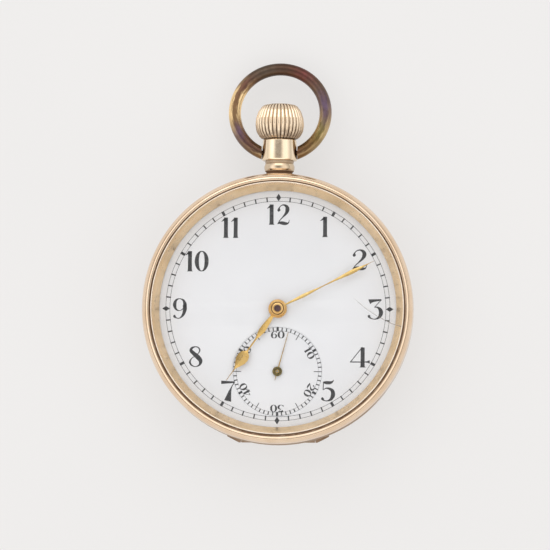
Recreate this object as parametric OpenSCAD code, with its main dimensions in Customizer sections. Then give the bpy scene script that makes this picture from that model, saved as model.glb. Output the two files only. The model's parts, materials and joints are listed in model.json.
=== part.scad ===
// Open face pocket watch lying on its back, crown wound and set by pulling the crown.
// Millimetres. The dial faces +Z and the pendant points to +Y. The origin is the middle of
// the flat face on the back cover that the watch rests on.

/* [Case] */
// Outer diameter of the case over the bezel
case_d = 50; // [44:0.5:56]
// Radius of the flat rest face in the middle of the back cover
rest_r = 11; // [6:0.5:16]
// Height of the joint between the back cover and the middle band
cover_z = 3.5; // [3:0.1:4.5]
// Height of the joint between the middle band and the bezel
bezel_z = 8.9; // [8:0.1:10]
// Radius of the crystal
crystal_r = 23.45; // [20:0.05:26]
// Radius of the visible dial opening in the bezel
opening_r = 21.85; // [18:0.05:24]

/* [Lid hinge] */
// Radius of the hinge barrel at six o'clock
knuckle_r = 0.65; // [0.5:0.05:0.8]
// Half length of the hinge barrel without its tapered tips
barrel_half = 7.2; // [7:0.1:8]
// Length of each tapered tip, filed to run into the round of the case
tip_len = 2.2; // [1:0.1:3.5]

/* [Pendant, crown and bow] */
// Height of the stem above the rest face
stem_z = 6.2; // [5.5:0.1:7]
// Distance from the case centre to the bow pivots
pivot_y = 29.1; // [27:0.1:31]
// Outer diameter of the crown
crown_d = 9; // [7:0.1:10]
// Number of rounded flutes round the crown
flutes = 34; // [20:1:44]
// Diameter of the bow wire
bow_wire = 2.25; // [1.5:0.05:2.6]
// Outer width of the bow
bow_w = 19.05; // [16:0.05:22]
// Angle that the bow hangs back from level, held by the stiffness of its pivots
bow_tilt = 10.5; // [-30:0.5:18]
// Travel of the crown when it is pulled to set the hands
pull = 1.1; // [0.6:0.1:1.5]

/* [Movement] */
// Radius of the mainplate
plate_r = 21; // [18:0.1:22]
// Distance from the centre arbor down to the seconds arbor
seconds_y = 11.55; // [10:0.05:13]
// Radius of the balance rim
balance_r = 6.7; // [5:0.1:7]
// Angle of the line from escape wheel to balance, anticlockwise from three o'clock
lever_dir = 130; // [120:1:140]

/* [Dial and hands] */
// Radius of the dial disc
dial_r = 22; // [18:0.1:23]
// Radius of the sunk seconds dial
seconds_r = 8.35; // [6:0.05:9]
// Length of the hour hand
hour_len = 16.3; // [12:0.1:18]
// Length of the minute hand
minute_len = 19.8; // [16:0.1:21]
// Length of the seconds hand
seconds_len = 7.6; // [5:0.1:8]
// Time that the hands show, in minutes after twelve
time_min = 430.6; // [0:0.1:719]
// Seconds that the seconds hand shows
time_sec = 2.6; // [0:0.1:59.9]

/* [Hidden] */
$fn = 64;
case_r = case_d / 2;
// Running gap of a turning fit, and a wider one for parts that only pass each other
fit = 0.03;
gap = 0.1;
// Hinge axis under the rim at six o'clock, in line with the cover joint
hinge_y = -(case_r - 1.35);
hinge_z = cover_z;
pin_r = 0.28;
pin_half = 7.8;
// Each lid knuckle and the middle case knuckle, as their inner and outer ends along X
case_mid = 1.2;
lid_a = [1.3, 4.1];
lid_b = [4.2, 6.8];
barrel_end = barrel_half + tip_len;
// Heights of the movement, from the back to the dial side
bridge_z0 = 3.95;
bridge_z1 = 4.95;
plate_z0 = 6.9;
plate_z1 = 8.4;
pocket_z = 4.38;
wheel_z0 = 3.88;
wheel_z1 = 4.33;
cock_z0 = 3.1;
cock_z1 = 3.85;
dial_z1 = 8.8;
bridge_r = plate_r - 0.6;
foot_r = 18.5;
screw_ring = 19.4;
// Tooth counts and modules, which give the distances between arbors
barrel_teeth = 84;
centre_leaves = 12;
barrel_m = 0.2;
centre_teeth = 80;
third_leaves = 10;
centre_m = 0.17;
third_teeth = 75;
fourth_leaves = 10;
third_m = 0.155;
fourth_teeth = 80;
escape_leaves = 8;
fourth_m = 0.13;
cannon_leaves = 12;
minute_teeth = 36;
motion_m = 0.15;
minute_leaves = 10;
hour_teeth = 40;
hour_m = 0.144;
wind_m = 0.2;
crown_teeth = 40;
ratchet_teeth = 66;
pinion_teeth = 18;
pinion_m = 0.18;
function mesh(a, b, m) = m * (a + b) / 2;
function polar(c, r, a) = [c[0] + r * cos(a), c[1] + r * sin(a)];
function dir(p, q) = atan2(q[1] - p[1], q[0] - p[0]);
centre = [0, 0];
fourth = [0, -seconds_y];
// The third arbor is placed by its two mesh distances
third_a = mesh(centre_teeth, third_leaves, centre_m);
third_b = mesh(third_teeth, fourth_leaves, third_m);
third_y = -(seconds_y * seconds_y + third_a * third_a - third_b * third_b) / (2 * seconds_y);
third = [sqrt(third_a * third_a - third_y * third_y), third_y];
escape = polar(fourth, mesh(fourth_teeth, escape_leaves, fourth_m), 164.3);
escape_r = 3.4;
lever_a = 3.9;
lever_b = 4.7;
pallet = polar(escape, lever_a, lever_dir);
balance = polar(escape, lever_a + lever_b, lever_dir);
balance_room = balance_r + 0.8;
cock_foot = polar(balance, 9.6, 115);
// The barrel arbor is placed by its mesh with the centre pinion and with the crown wheel
crown_wheel_y = 12.6;
barrel_a = mesh(barrel_teeth, centre_leaves, barrel_m);
barrel_b = mesh(crown_teeth, ratchet_teeth, wind_m);
barrel_y = (barrel_a * barrel_a + crown_wheel_y * crown_wheel_y - barrel_b * barrel_b)
    / (2 * crown_wheel_y);
barrel_at = [sqrt(barrel_a * barrel_a - barrel_y * barrel_y), barrel_y];
click_at = polar(barrel_at, 8.6, -32);
click_tip = polar(barrel_at, 7.15, -8);
minute_at = polar(centre, mesh(cannon_leaves, minute_teeth, motion_m), 215);
// Pivots and jewels
pivot_r = 0.14;
arbor_r = 0.3;
jewel_r = 0.6;
jewel_spots = [third, fourth, escape];
// Dial feet, and the screws of the two cocks
foot_angles = [60, 190, 310];
cock_screw_at = polar(cock_foot, 0.2, 115);
pallet_feet = [polar(pallet, 2.6, lever_dir - 90), polar(pallet, 3.4, lever_dir + 90)];
// Keyless work along the stem
pinion_y = [15.15, 16.95];
clutch_y = [12, 14.9];
lug_in = [10.9, 11.8];
lug_out = [17.3, 20.3];
lever_y = 18.7;
tail_y = 10.2;
crown_y0 = 31.65;
crown_y1 = 38.2;
// The bow turns on two pegs that reach into the pendant
peg_r = 0.45;
bow_r = (bow_w - bow_wire) / 2;
bow_gap = 3.3;
bow_rise = sqrt(bow_r * bow_r - bow_gap * bow_gap);

// ---- Helpers ----

// Puts its children at a point of the movement and a height
module at(p, z = 0) {
    translate([p[0], p[1], z]) children();
}

// Upright disc between two heights
module disc(r, z0, z1) {
    translate([0, 0, z0]) cylinder(h = z1 - z0, r = r);
}

// Upright washer between two heights
module washer(r_out, r_in, z0, z1) {
    translate([0, 0, z0]) linear_extrude(z1 - z0) difference() {
        circle(r_out);
        circle(r_in);
    }
}

// Turns its children from +Z to +Y on the stem line
module on_stem() {
    translate([0, 0, stem_z]) rotate([-90, 0, 0]) children();
}

// Rod on the stem line between two distances from the case centre
module rod(r, y0, y1) {
    on_stem() translate([0, 0, y0]) cylinder(h = y1 - y0, r = r);
}

// Rod along X between two places, at the hinge
module knuckle(r, x0, x1) {
    translate([x0, hinge_y, hinge_z]) rotate([0, 90, 0]) cylinder(h = x1 - x0, r = r);
}

// Outline of a toothed wheel with one tooth centred on +X
module gear2d(teeth, m) {
    pitch = m * teeth / 2;
    step = 360 / teeth;
    root = pitch - 1.3 * m;
    tip = pitch + 0.9 * m;
    polygon([for (i = [0 : teeth - 1], c = [[-0.29, root], [-0.1, tip], [0.1, tip], [0.29, root]])
        [c[1] * cos((i + c[0]) * step), c[1] * sin((i + c[0]) * step)]]);
}

// Toothed wheel with crossed-out arms, turned so that a tooth points along the angle
module wheel2d(teeth, m, angle, rim, hub, arm, bore, arms = 4) {
    root = m * teeth / 2 - 1.3 * m;
    difference() {
        rotate(angle) gear2d(teeth, m);
        difference() {
            circle(root - rim);
            circle(hub);
            for (i = [0 : arms - 1]) rotate(i * 360 / arms) translate([0, -arm / 2]) square([root, arm]);
        }
        circle(bore);
    }
}

// Pinion between two heights, turned so that a gap faces along the angle
module pinion(leaves, m, angle, z0, z1) {
    translate([0, 0, z0]) linear_extrude(z1 - z0) rotate(angle + 180 / leaves) gear2d(leaves, m);
}

// Tapering arm outline between two round ends
module arm2d(p, q, rp, rq) {
    a = dir(p, q);
    translate(p) circle(rp);
    translate(q) circle(rq);
    polygon([polar(p, rp, a + 90), polar(p, rp, a - 90), polar(q, rq, a - 90), polar(q, rq, a + 90)]);
}

// Part of a flat ring between two angles
module sector2d(r_out, r_in, a0, a1) {
    far = r_out * 1.5;
    intersection() {
        difference() {
            circle(r_out);
            circle(r_in);
        }
        polygon(concat([[0, 0]], [for (i = [0 : 6]) polar([0, 0], far, a0 + (a1 - a0) * i / 6)]));
    }
}

// Spiral strip outline, wound outward from one radius to another
module spiral2d(r0, r1, turns, thick, per_turn = 20) {
    n = turns * per_turn;
    function at_step(i, off) = polar([0, 0], r0 + (r1 - r0) * i / n + off, i * 360 / per_turn);
    polygon(concat([for (i = [0 : n]) at_step(i, 0)], [for (i = [n : -1 : 0]) at_step(i, thick)]));
}

// Hand outline drawn along +Y from a list of distances and half widths
module blade2d(side) {
    n = len(side) - 1;
    polygon(concat([for (i = [0 : n]) [side[i][1], side[i][0]]],
        [for (i = [n : -1 : 0]) [-side[i][1], side[i][0]]]));
}

// Slotted screw with its head at the lower end, as seen from the back of the movement
module screw(head_r, head_h, shank_r, len, z) {
    translate([0, 0, z]) difference() {
        union() {
            cylinder(h = head_h, r = head_r, $fn = 32);
            cylinder(h = len, r = shank_r, $fn = 32);
        }
        translate([-head_r * 1.2, -head_r * 0.12, -0.01]) cube([head_r * 2.4, head_r * 0.24, head_h * 0.4]);
    }
}

// Arbor with a thin pivot at each end
module arbor(z0, z1, low, high) {
    disc(arbor_r, z0, z1);
    disc(pivot_r, low, high);
}

// ---- Case ----

// Draws its children, and again mirrored to the other side of the pendant line
module both_sides() {
    children();
    mirror([1, 0, 0]) children();
}

// End piece of the hinge barrel, with its outside tapered towards the rim
module barrel_tip() {
    intersection() {
        translate([lid_b[1] + 0.1, hinge_y - 1, hinge_z - 1]) cube([5, 3, 2]);
        translate([0, 0, hinge_z - 1]) linear_extrude(2) polygon([[6, -20], [6, hinge_y - knuckle_r],
            [barrel_half, hinge_y - knuckle_r], [barrel_end, hinge_y + knuckle_r - 0.15],
            [barrel_end, -20]]);
        union() {
            knuckle(knuckle_r, lid_b[1], barrel_end + 1);
            translate([lid_b[1], hinge_y, hinge_z]) cube([5, 2, knuckle_r * 0.9]);
        }
    }
}

module case_band() {
    color("Goldenrod") difference() {
        union() {
            difference() {
                rotate_extrude($fn = 128) polygon([[23.2, 3.1], [23.9, 3.1], [23.9, cover_z],
                    [24.5, cover_z], [24.8, 3.9], [24.9, 5], [24.95, 6.1], [24.9, 7.4],
                    [24.8, 8.4], [24.6, bezel_z], [23.6, bezel_z], [23.6, 9.4], [22.9, 9.4],
                    [22.9, bezel_z], [22.1, bezel_z], [22.1, 7.7], [plate_r + 0.15, 7.7],
                    [plate_r + 0.15, 3.9], [23.2, 3.9]]);
                knuckle(knuckle_r + 0.08, -lid_b[1] - 0.05, lid_b[1] + 0.05);
                translate([-lid_b[1] - 0.05, hinge_y - 2, 2.9])
                    cube([2 * lid_b[1] + 0.1, 3, cover_z - 2.9]);
            }
            knuckle(knuckle_r, -case_mid, case_mid);
            translate([-case_mid, hinge_y, hinge_z]) cube([2 * case_mid, 1.4, knuckle_r * 0.9]);
            both_sides() barrel_tip();
        }
        knuckle(pin_r + fit, -pin_half - 0.05, pin_half + 0.05);
        rod(2.02, 21, 27);
        for (a = [150, 330]) at(polar(centre, 21.55, a)) disc(0.26, 6.5, 8);
    }
}

module pendant() {
    color("Khaki") difference() {
        on_stem() rotate_extrude() polygon([[1.35, 22.6], [2, 22.6], [2, 24.97], [2.4, 24.97],
            [2.4, 25.5], [2.65, 25.65], [2.8, 26.05], [2.8, 26.5], [2.65, 26.95], [2.55, 27.1],
            [2.68, 27.2], [2.68, 27.6], [3.2, 27.65], [3.25, 27.9], [3.1, 31.4],
            [2.95, 31.55], [1.35, 31.55]]);
        translate([-4, pivot_y, stem_z]) rotate([0, 90, 0]) cylinder(h = 8, r = peg_r + fit);
    }
}

module bezel() {
    color("Gold") rotate_extrude($fn = 128) polygon([[opening_r, 9], [22.85, 8.95], [22.85, 9.45],
        [23.65, 9.45], [23.65, bezel_z + 0.02], [24.65, bezel_z + 0.02], [24.93, 9.3],
        [case_r, 10], [24.95, 10.6], [24.8, 11.2], [24.55, 11.65], [24.3, 11.9], [24.22, 11.85],
        [24.1, 12.05], [23.9, 12.15], [23.65, 12.15], [crystal_r + 0.05, 12],
        [crystal_r + 0.05, 11.25], [23.1, 11.25], [22.6, 10.6], [22.05, 9.6], [opening_r, 9.3]]);
}

module crystal() {
    color("LightCyan", 0.4) rotate_extrude($fn = 128) polygon([[0, 11.27], [crystal_r, 11.27],
        [crystal_r, 11.75], [23, 12.15], [20, 12.32], [15, 12.47], [9, 12.56], [0, 12.6]]);
}

// Room for the six o'clock hinge, outward of a line across the case
module hinge_strip(x0, x1, y1, z0, z1) {
    translate([x0, -case_r - 1, z0]) cube([x1 - x0, y1 + case_r + 1, z1 - z0]);
}

module back_cover() {
    color("Goldenrod") difference() {
        union() {
            difference() {
                rotate_extrude($fn = 128) polygon([[0, 0], [rest_r, 0], [15, 0.12], [19, 0.55],
                    [22, 1.3], [23.8, 2.2], [24.6, 2.9], [24.85, cover_z - 0.05],
                    [23.95, cover_z - 0.05], [23.95, 3.02], [23.3, 2.55], [21.6, 1.75],
                    [18.7, 1.05], [15, 0.65], [rest_r, 0.55], [0, 0.55]]);
                hinge_strip(-barrel_end - 0.2, barrel_end + 0.2, hinge_y + 0.1, -1, 5);
                knuckle(knuckle_r + 0.08, -barrel_end - 0.2, barrel_end + 0.2);
            }
            both_sides() {
                knuckle(knuckle_r, lid_b[0], lid_b[1]);
                translate([lid_b[0], hinge_y, hinge_z - 0.7]) cube([lid_b[1] - lid_b[0], 0.8, 0.65]);
            }
        }
        both_sides() hinge_strip(lid_a[0] - 0.05, lid_a[1] + 0.05, -22.9, 2.75, 5);
        knuckle(pin_r + fit, -barrel_end, barrel_end);
    }
}

module cuvette() {
    color("Gold") difference() {
        union() {
            difference() {
                rotate_extrude($fn = 128) polygon([[0, 1.78], [16, 1.82], [20.2, 2.12],
                    [22.4, 2.6], [23.1, 3.05], [23.1, cover_z - 0.05], [22.6, cover_z - 0.05],
                    [22.3, 3], [20, 2.5], [16, 2.2], [0, 2.15]]);
                knuckle(knuckle_r + 0.08, -barrel_end, barrel_end);
            }
            both_sides() {
                knuckle(knuckle_r, lid_a[0], lid_a[1]);
                translate([lid_a[0], hinge_y, hinge_z - knuckle_r])
                    cube([lid_a[1] - lid_a[0], 1.2, 0.5]);
            }
        }
        knuckle(pin_r + fit, -barrel_end, barrel_end);
    }
}

module hinge_pin() {
    color("Silver") knuckle(pin_r, -pin_half, pin_half);
}

module bow() {
    color("Peru") translate([0, pivot_y, stem_z]) rotate([-bow_tilt, 0, 0]) {
        difference() {
            translate([0, bow_rise, 0]) rotate_extrude(angle = 322, start = -71)
                translate([bow_r, 0]) circle(bow_wire / 2, $fn = 32);
            translate([-bow_gap, -3, -3]) cube([2 * bow_gap, 6, 6]);
        }
        both_sides() translate([2.3, 0, 0]) rotate([0, 90, 0]) cylinder(h = 1.4, r = peg_r, $fn = 32);
    }
}

// ---- Crown and keyless work ----

module crown() {
    color("Gold") difference() {
        on_stem() rotate_extrude() polygon([[0, crown_y0], [2.9, crown_y0], [3.6, 31.9],
            [4.25, 32.8], [crown_d / 2, 34], [4.4, 35.3], [4.05, 36.5], [3.3, 37.65], [2.85, 38],
            [1.9, crown_y1], [0, crown_y1]]);
        for (i = [0 : flutes - 1]) on_stem() rotate(i * 360 / flutes)
            translate([crown_d / 2 + 0.08, 0, crown_y0 - 1]) cylinder(h = 9, r = 0.25, $fn = 16);
        rod(0.75, crown_y0 - 1, 35.2);
    }
}

module stem() {
    color("Silver") difference() {
        union() {
            rod(0.4, tail_y, 12);
            on_stem() translate([-0.575, -0.575, 11.9]) cube([1.15, 1.15, 3.2]);
            rod(0.8, 15.1, 20.5);
            rod(0.72, 20.4, 35.1);
        }
        on_stem() translate([0, 0, lever_y - 0.35]) linear_extrude(0.7) difference() {
            circle(1.2);
            circle(0.5);
        }
    }
}

module setting_lever() {
    color("Silver") {
        translate([-1, lever_y - 0.7, 7.95]) cube([6.4, 1.4, 0.4]);
        translate([0, lever_y, stem_z + 0.53]) cylinder(h = 1.5, r = 0.28, $fn = 32);
    }
}

module yoke() {
    color("Silver") {
        translate([0, 0, 7.95]) linear_extrude(0.4) arm2d([6.6, 15.2], [0, 13.1], 0.9, 0.5);
        translate([0, 13.1, 7.28]) cylinder(h = 0.8, r = 0.2, $fn = 32);
    }
}

module winding_pinion() {
    color("Silver") on_stem() translate([0, 0, pinion_y[0]]) linear_extrude(pinion_y[1] - pinion_y[0])
        difference() {
            gear2d(pinion_teeth, pinion_m);
            circle(0.8 + fit);
        }
}

module clutch() {
    color("Silver") difference() {
        union() {
            rod(1.45, clutch_y[0], 12.8);
            rod(1, 12.7, 13.5);
            rod(1.45, 13.4, clutch_y[1]);
        }
        on_stem() translate([-0.6, -0.6, clutch_y[0] - 1]) cube([1.2, 1.2, 5]);
        for (i = [0 : 7]) on_stem() rotate(i * 45) translate([1.1, -0.12, clutch_y[1] - 0.4])
            cube([1, 0.24, 1]);
    }
}

module crown_wheel() {
    color("LightSteelBlue") at([0, crown_wheel_y], wheel_z0) linear_extrude(wheel_z1 - wheel_z0)
        difference() {
            rotate(dir([0, crown_wheel_y], barrel_at)) gear2d(crown_teeth, wind_m);
            circle(1.2 + fit);
        }
}

module crown_wheel_screw() {
    color("RoyalBlue") at([0, crown_wheel_y]) screw(1.9, 0.45, 0.47, 1.1, 3.4);
}

module ratchet_wheel() {
    color("LightSteelBlue") at(barrel_at, wheel_z0) linear_extrude(wheel_z1 - wheel_z0)
        difference() {
            rotate(dir(barrel_at, [0, crown_wheel_y]) + 180 / ratchet_teeth)
                gear2d(ratchet_teeth, wind_m);
            square(1.14, center = true);
        }
}

module ratchet_screw() {
    color("RoyalBlue") at(barrel_at) screw(1.7, 0.43, 0.33, 1.2, 3.4);
}

module click() {
    color("LightSteelBlue") difference() {
        translate([0, 0, wheel_z0]) linear_extrude(wheel_z1 - wheel_z0)
            arm2d(click_at, click_tip, 1, 0.32);
        at(click_at) disc(0.5, 3, 5);
    }
}

module click_screw() {
    color("RoyalBlue") at(click_at) screw(0.8, 0.4, 0.47, 1.2, 3.45);
}

module click_spring() {
    color("Silver") translate([0, 0, 4]) linear_extrude(0.3) {
        arm2d([17.9, 5.4], [16.6, 3.7], 0.1, 0.1);
        arm2d([17.9, 5.4], [16.9, 7.2], 0.1, 0.1);
        translate([16.7, 7.5]) circle(0.5, $fn = 32);
    }
}

// ---- Plates and bridges ----

module mainplate() {
    color("Khaki") difference() {
        union() {
            disc(plate_r, plate_z0, plate_z1);
            disc(dial_r, 7.75, plate_z1);
            translate([-0.9, lug_in[0], 5.5]) cube([1.6, lug_in[1] - lug_in[0], 1.5]);
            translate([-1.6, lug_out[0], 5.1]) cube([3.2, lug_out[1] - lug_out[0], 1.9]);
        }
        // Bearings and room for the keyless work
        rod(0.4 + fit, 5, lug_in[1] + 0.2);
        rod(0.8 + fit, 17, 23);
        rod(1.95, pinion_y[0] - 0.15, pinion_y[1] + 0.15);
        rod(1.6, clutch_y[0] - 0.1, pinion_y[0]);
        translate([-1.3, lever_y - 0.95, 7.9]) cube([7, 1.9 + pull, 1]);
        translate([-0.35, lever_y - 0.4, 6.5]) cube([0.7, 0.8 + pull, 2]);
        translate([0, 0, 7.9]) linear_extrude(1) arm2d([6.6, 15.2], [0, 13.1], 1, 0.65);
        translate([0, 13.1, 7]) cylinder(h = 2, r = 0.3, $fn = 32);
        // Room for the motion work under the dial
        disc(3.3, 7.55, 9);
        at(minute_at) disc(3.1, 7.55, 9);
        disc(0.5, 6, 9);
        at(minute_at) disc(0.33, 7, 9);
        // Arbor holes
        for (p = concat(jewel_spots, [pallet, balance])) at(p) disc(jewel_r, 6, 9);
        at(barrel_at) disc(0.8 + fit, 6, 7.5);
        // Screws and dial feet
        for (a = [12, 45, 74, 108, 262, 300, 332]) at(polar(centre, screw_ring, a)) disc(0.5, 6, 7.7);
        at(cock_screw_at) disc(0.5, 6, 7.7);
        for (p = pallet_feet) at(p) disc(0.3, 6, 7.7);
        for (a = [150, 330]) at(polar(centre, 21.55, a)) {
            disc(0.26, 7, 9);
            disc(0.4, 8.1, 9);
        }
        for (a = foot_angles) at(polar(centre, 18, a)) disc(0.4 + fit, 7, 9);
    }
}

module barrel_bridge() {
    color("Khaki") difference() {
        union() {
            translate([0, 0, bridge_z0]) linear_extrude(bridge_z1 - bridge_z0) difference() {
                intersection() {
                    circle(bridge_r);
                    translate([-5.4, -2.4]) square([30, 30]);
                }
                translate(balance) circle(balance_room);
            }
            translate([0, 0, bridge_z1 - 0.05]) linear_extrude(plate_z0 - bridge_z1 + 0.05) {
                sector2d(bridge_r, foot_r, 2, 80);
                sector2d(bridge_r, foot_r, 99, 104);
            }
        }
        // Pockets for the winding wheels and the click
        at(barrel_at) disc(6.95, 3, pocket_z);
        at([0, crown_wheel_y]) washer(4.3, 1.2, 3, pocket_z);
        translate([0, 0, 3]) linear_extrude(pocket_z - 3) {
            arm2d(click_at, polar(click_tip, 0.4, -8), 1.25, 0.6);
            arm2d(click_at, polar(click_tip, 1.5, -8), 1.25, 0.6);
            arm2d([17.9, 5.4], [16.3, 3.3], 0.3, 0.3);
            arm2d([17.9, 5.4], [16.7, 7.5], 0.3, 0.55);
        }
        translate([-2, pinion_y[0] - 0.15, 3]) cube([4, 2.1, 3]);
        rod(1.6, clutch_y[0] - 0.1, pinion_y[0]);
        // Bearings and screws
        at(barrel_at) disc(0.8 + fit, 3, 6);
        disc(jewel_r, 3, 6);
        at([0, crown_wheel_y]) disc(0.5, 3, 4.55);
        at(click_at) disc(0.5, 3, 4.75);
        for (a = [12, 45, 74]) at(polar(centre, screw_ring, a)) {
            disc(0.5, 3, 7);
            disc(1.05, 3, 4.25);
        }
    }
}

module train_bridge() {
    color("Khaki") difference() {
        union() {
            translate([0, 0, bridge_z0]) linear_extrude(bridge_z1 - bridge_z0) difference() {
                intersection() {
                    circle(bridge_r);
                    translate([-8.5, -30]) square([40, 27.2]);
                }
                translate(balance) circle(balance_room);
            }
            translate([0, 0, bridge_z1 - 0.05]) linear_extrude(plate_z0 - bridge_z1 + 0.05)
                sector2d(bridge_r, foot_r, 256, 342);
        }
        for (p = jewel_spots) at(p) disc(jewel_r, 3, 6);
        for (a = [262, 300, 332]) at(polar(centre, screw_ring, a)) {
            disc(0.5, 3, 7);
            disc(1.05, 3, 4.25);
        }
    }
}

module pallet_cock() {
    color("Khaki") difference() {
        union() {
            translate([0, 0, 5.05]) linear_extrude(0.4) {
                arm2d(pallet, pallet_feet[0], 0.75, 0.65);
                arm2d(pallet, pallet_feet[1], 0.85, 0.8);
            }
            at(pallet_feet[0]) disc(0.6, 5.4, plate_z0);
            at(pallet_feet[1]) disc(0.75, 5.4, plate_z0);
        }
        at(pallet) disc(0.4, 5, 6);
        for (p = pallet_feet) at(p) disc(0.3, 5, 7);
    }
}

module balance_cock() {
    color("Khaki") difference() {
        union() {
            translate([0, 0, cock_z0]) linear_extrude(cock_z1 - cock_z0)
                arm2d(cock_foot, balance, 2.7, 2);
            at(cock_foot) disc(2, cock_z1 - 0.05, plate_z0);
        }
        at(balance) disc(jewel_r, 3, 4);
        at(polar(balance, 4.3, 115)) disc(0.27, 3, 4);
        at(cock_screw_at) {
            disc(0.5, 3, 7);
            disc(1.05, 3, 3.4);
        }
    }
}

// ---- Going train ----

module barrel() {
    color("Khaki") at(barrel_at) {
        translate([0, 0, 5]) linear_extrude(0.2) difference() {
            rotate(dir(barrel_at, centre)) gear2d(barrel_teeth, barrel_m);
            circle(0.9);
        }
        translate([0, 0, 5.15]) linear_extrude(0.25) difference() {
            rotate(dir(barrel_at, centre)) gear2d(barrel_teeth, barrel_m);
            circle(7.8);
        }
        washer(8.1, 7.8, 5.3, 5.95);
    }
}

module barrel_cover() {
    color("Khaki") at(barrel_at) washer(7.78, 0.9, 5.77, 5.93);
}

module barrel_arbor() {
    color("Silver") at(barrel_at) difference() {
        union() {
            translate([0, 0, wheel_z0]) linear_extrude(0.6) square(1.1, center = true);
            disc(0.8, 4.4, 7.4);
            disc(1.7, 5.25, 5.72);
        }
        disc(0.36, 3, 4.9);
    }
}

module mainspring() {
    color("SteelBlue") at(barrel_at, 5.26) linear_extrude(0.44) spiral2d(1.85, 7.5, 7, 0.16);
}

module centre_arbor() {
    color("Silver") {
        pinion(centre_leaves, barrel_m, dir(centre, barrel_at), 4.98, 5.46);
        disc(0.45, 4.98, 7.6);
        disc(0.35, 7.5, 10.3);
        disc(0.25, 4.05, 5.1);
    }
}

module centre_wheel() {
    color("Gold") translate([0, 0, 6.45]) linear_extrude(0.17)
        wheel2d(centre_teeth, centre_m, dir(centre, third), 0.6, 1.1, 0.5, 0.45);
}

module third_pinion() {
    color("Silver") at(third) {
        arbor(4.98, 6.86, 4.2, 7.5);
        pinion(third_leaves, centre_m, dir(third, centre), 6.32, 6.78);
    }
}

module third_wheel() {
    color("Gold") at(third, 6.05) linear_extrude(0.17)
        wheel2d(third_teeth, third_m, dir(third, fourth), 0.5, 0.9, 0.4, arbor_r);
}

module fourth_pinion() {
    color("Silver") at(fourth) {
        arbor(4.98, 6.86, 4.2, 9.25);
        pinion(fourth_leaves, third_m, dir(fourth, third), 5.98, 6.32);
    }
}

module fourth_wheel() {
    color("Gold") at(fourth, 5.35) linear_extrude(0.17)
        wheel2d(fourth_teeth, fourth_m, dir(fourth, escape), 0.45, 0.8, 0.4, arbor_r);
}

module escape_pinion() {
    color("Silver") at(escape) {
        arbor(4.98, 6.86, 4.2, 7.5);
        pinion(escape_leaves, fourth_m, dir(escape, fourth), 5.25, 5.62);
    }
}

module escape_wheel() {
    color("Silver") at(escape, 5.75) linear_extrude(0.15) difference() {
        union() {
            circle(escape_r - 0.7);
            for (i = [0 : 14]) rotate(i * 24) polygon([[escape_r - 0.9, -0.35],
                [escape_r, 0.25], [escape_r - 0.05, 0.42], [escape_r - 0.9, 0.25]]);
        }
        difference() {
            circle(escape_r - 1.1);
            circle(0.7);
            for (i = [0 : 3]) rotate(i * 90) translate([0, -0.15]) square([3, 0.3]);
        }
        circle(arbor_r);
    }
}

// ---- Escapement and balance ----

module pallet_fork() {
    color("Silver") at(pallet) rotate(lever_dir) {
        translate([0, 0, 5.75]) linear_extrude(0.15) difference() {
            union() {
                arm2d([0, 0], [2.9, 0], 0.45, 0.22);
                arm2d([0, 0], [-0.75, 1.75], 0.4, 0.22);
                arm2d([0, 0], [-0.75, -1.75], 0.4, 0.22);
                translate([2.8, -0.45]) square([0.62, 0.9]);
            }
            translate([3.05, -0.19]) square([1, 0.38]);
        }
        disc(0.25, 5.5, 6.86);
        disc(pivot_r, 5.1, 7.5);
    }
}

module pallet_stones() {
    color("Crimson") at(pallet) rotate(lever_dir) both_pallets()
        translate([-0.72, 1.55, 5.6]) cube([0.3, 0.4, 0.14]);
}

// Both sides of the lever line
module both_pallets() {
    children();
    mirror([0, 1, 0]) children();
}

module balance_staff() {
    color("Silver") at(balance) {
        disc(arbor_r, 3.92, 6.86);
        disc(pivot_r, 3.4, 7.5);
        disc(0.6, 3.97, 4.22);
        disc(1.4, 5.3, 5.5);
    }
}

module balance_wheel() {
    color("Gold") at(balance, 4.35) linear_extrude(0.5) difference() {
        circle(balance_r);
        difference() {
            circle(balance_r - 0.65);
            circle(1);
            for (i = [0 : 2]) rotate(i * 120 + 20) translate([0, -0.3]) square([balance_r, 0.6]);
        }
        circle(arbor_r);
    }
}

module balance_screws() {
    color("Gold") at(balance, 4.6) for (i = [0 : 11]) rotate(i * 30 + 5) translate([balance_r, 0, 0])
        rotate([0, 90, 0]) cylinder(h = 0.4, r = 0.22, $fn = 24);
}

module impulse_jewel() {
    color("Crimson") at(polar(balance, 1.1, lever_dir + 180)) disc(0.13, 5.5, 5.92);
}

module hairspring() {
    color("RoyalBlue") at(balance, 4) linear_extrude(0.2) rotate(115) spiral2d(0.62, 4.02, 9, 0.06);
}

module hairspring_stud() {
    color("Silver") at(polar(balance, 4.3, 115)) disc(0.24, 3.2, 4.25);
}

module regulator() {
    color("Silver") at(balance, 2.86) linear_extrude(0.2) difference() {
        union() {
            circle(1.7);
            arm2d([0, 0], polar([0, 0], 6.8, 115), 0.7, 0.18);
        }
        circle(0.85);
    }
}

module endstone() {
    color("Crimson") at(balance) disc(0.8, 2.9, cock_z0);
}

// ---- Motion work, dial and hands ----

module cannon_pinion() {
    color("DimGray") difference() {
        union() {
            pinion(cannon_leaves, motion_m, dir(centre, minute_at), 7.62, 7.98);
            disc(0.58, 7.62, 10.25);
        }
        disc(0.35, 7, 11);
    }
}

module minute_wheel() {
    color("Gold") at(minute_at) {
        translate([0, 0, 7.66]) linear_extrude(0.24)
            wheel2d(minute_teeth, motion_m, dir(minute_at, centre), 0.5, 1, 0.5, arbor_r);
        disc(arbor_r, 7.1, 8.3);
        pinion(minute_leaves, hour_m, dir(minute_at, centre), 7.85, 8.33);
    }
}

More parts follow.
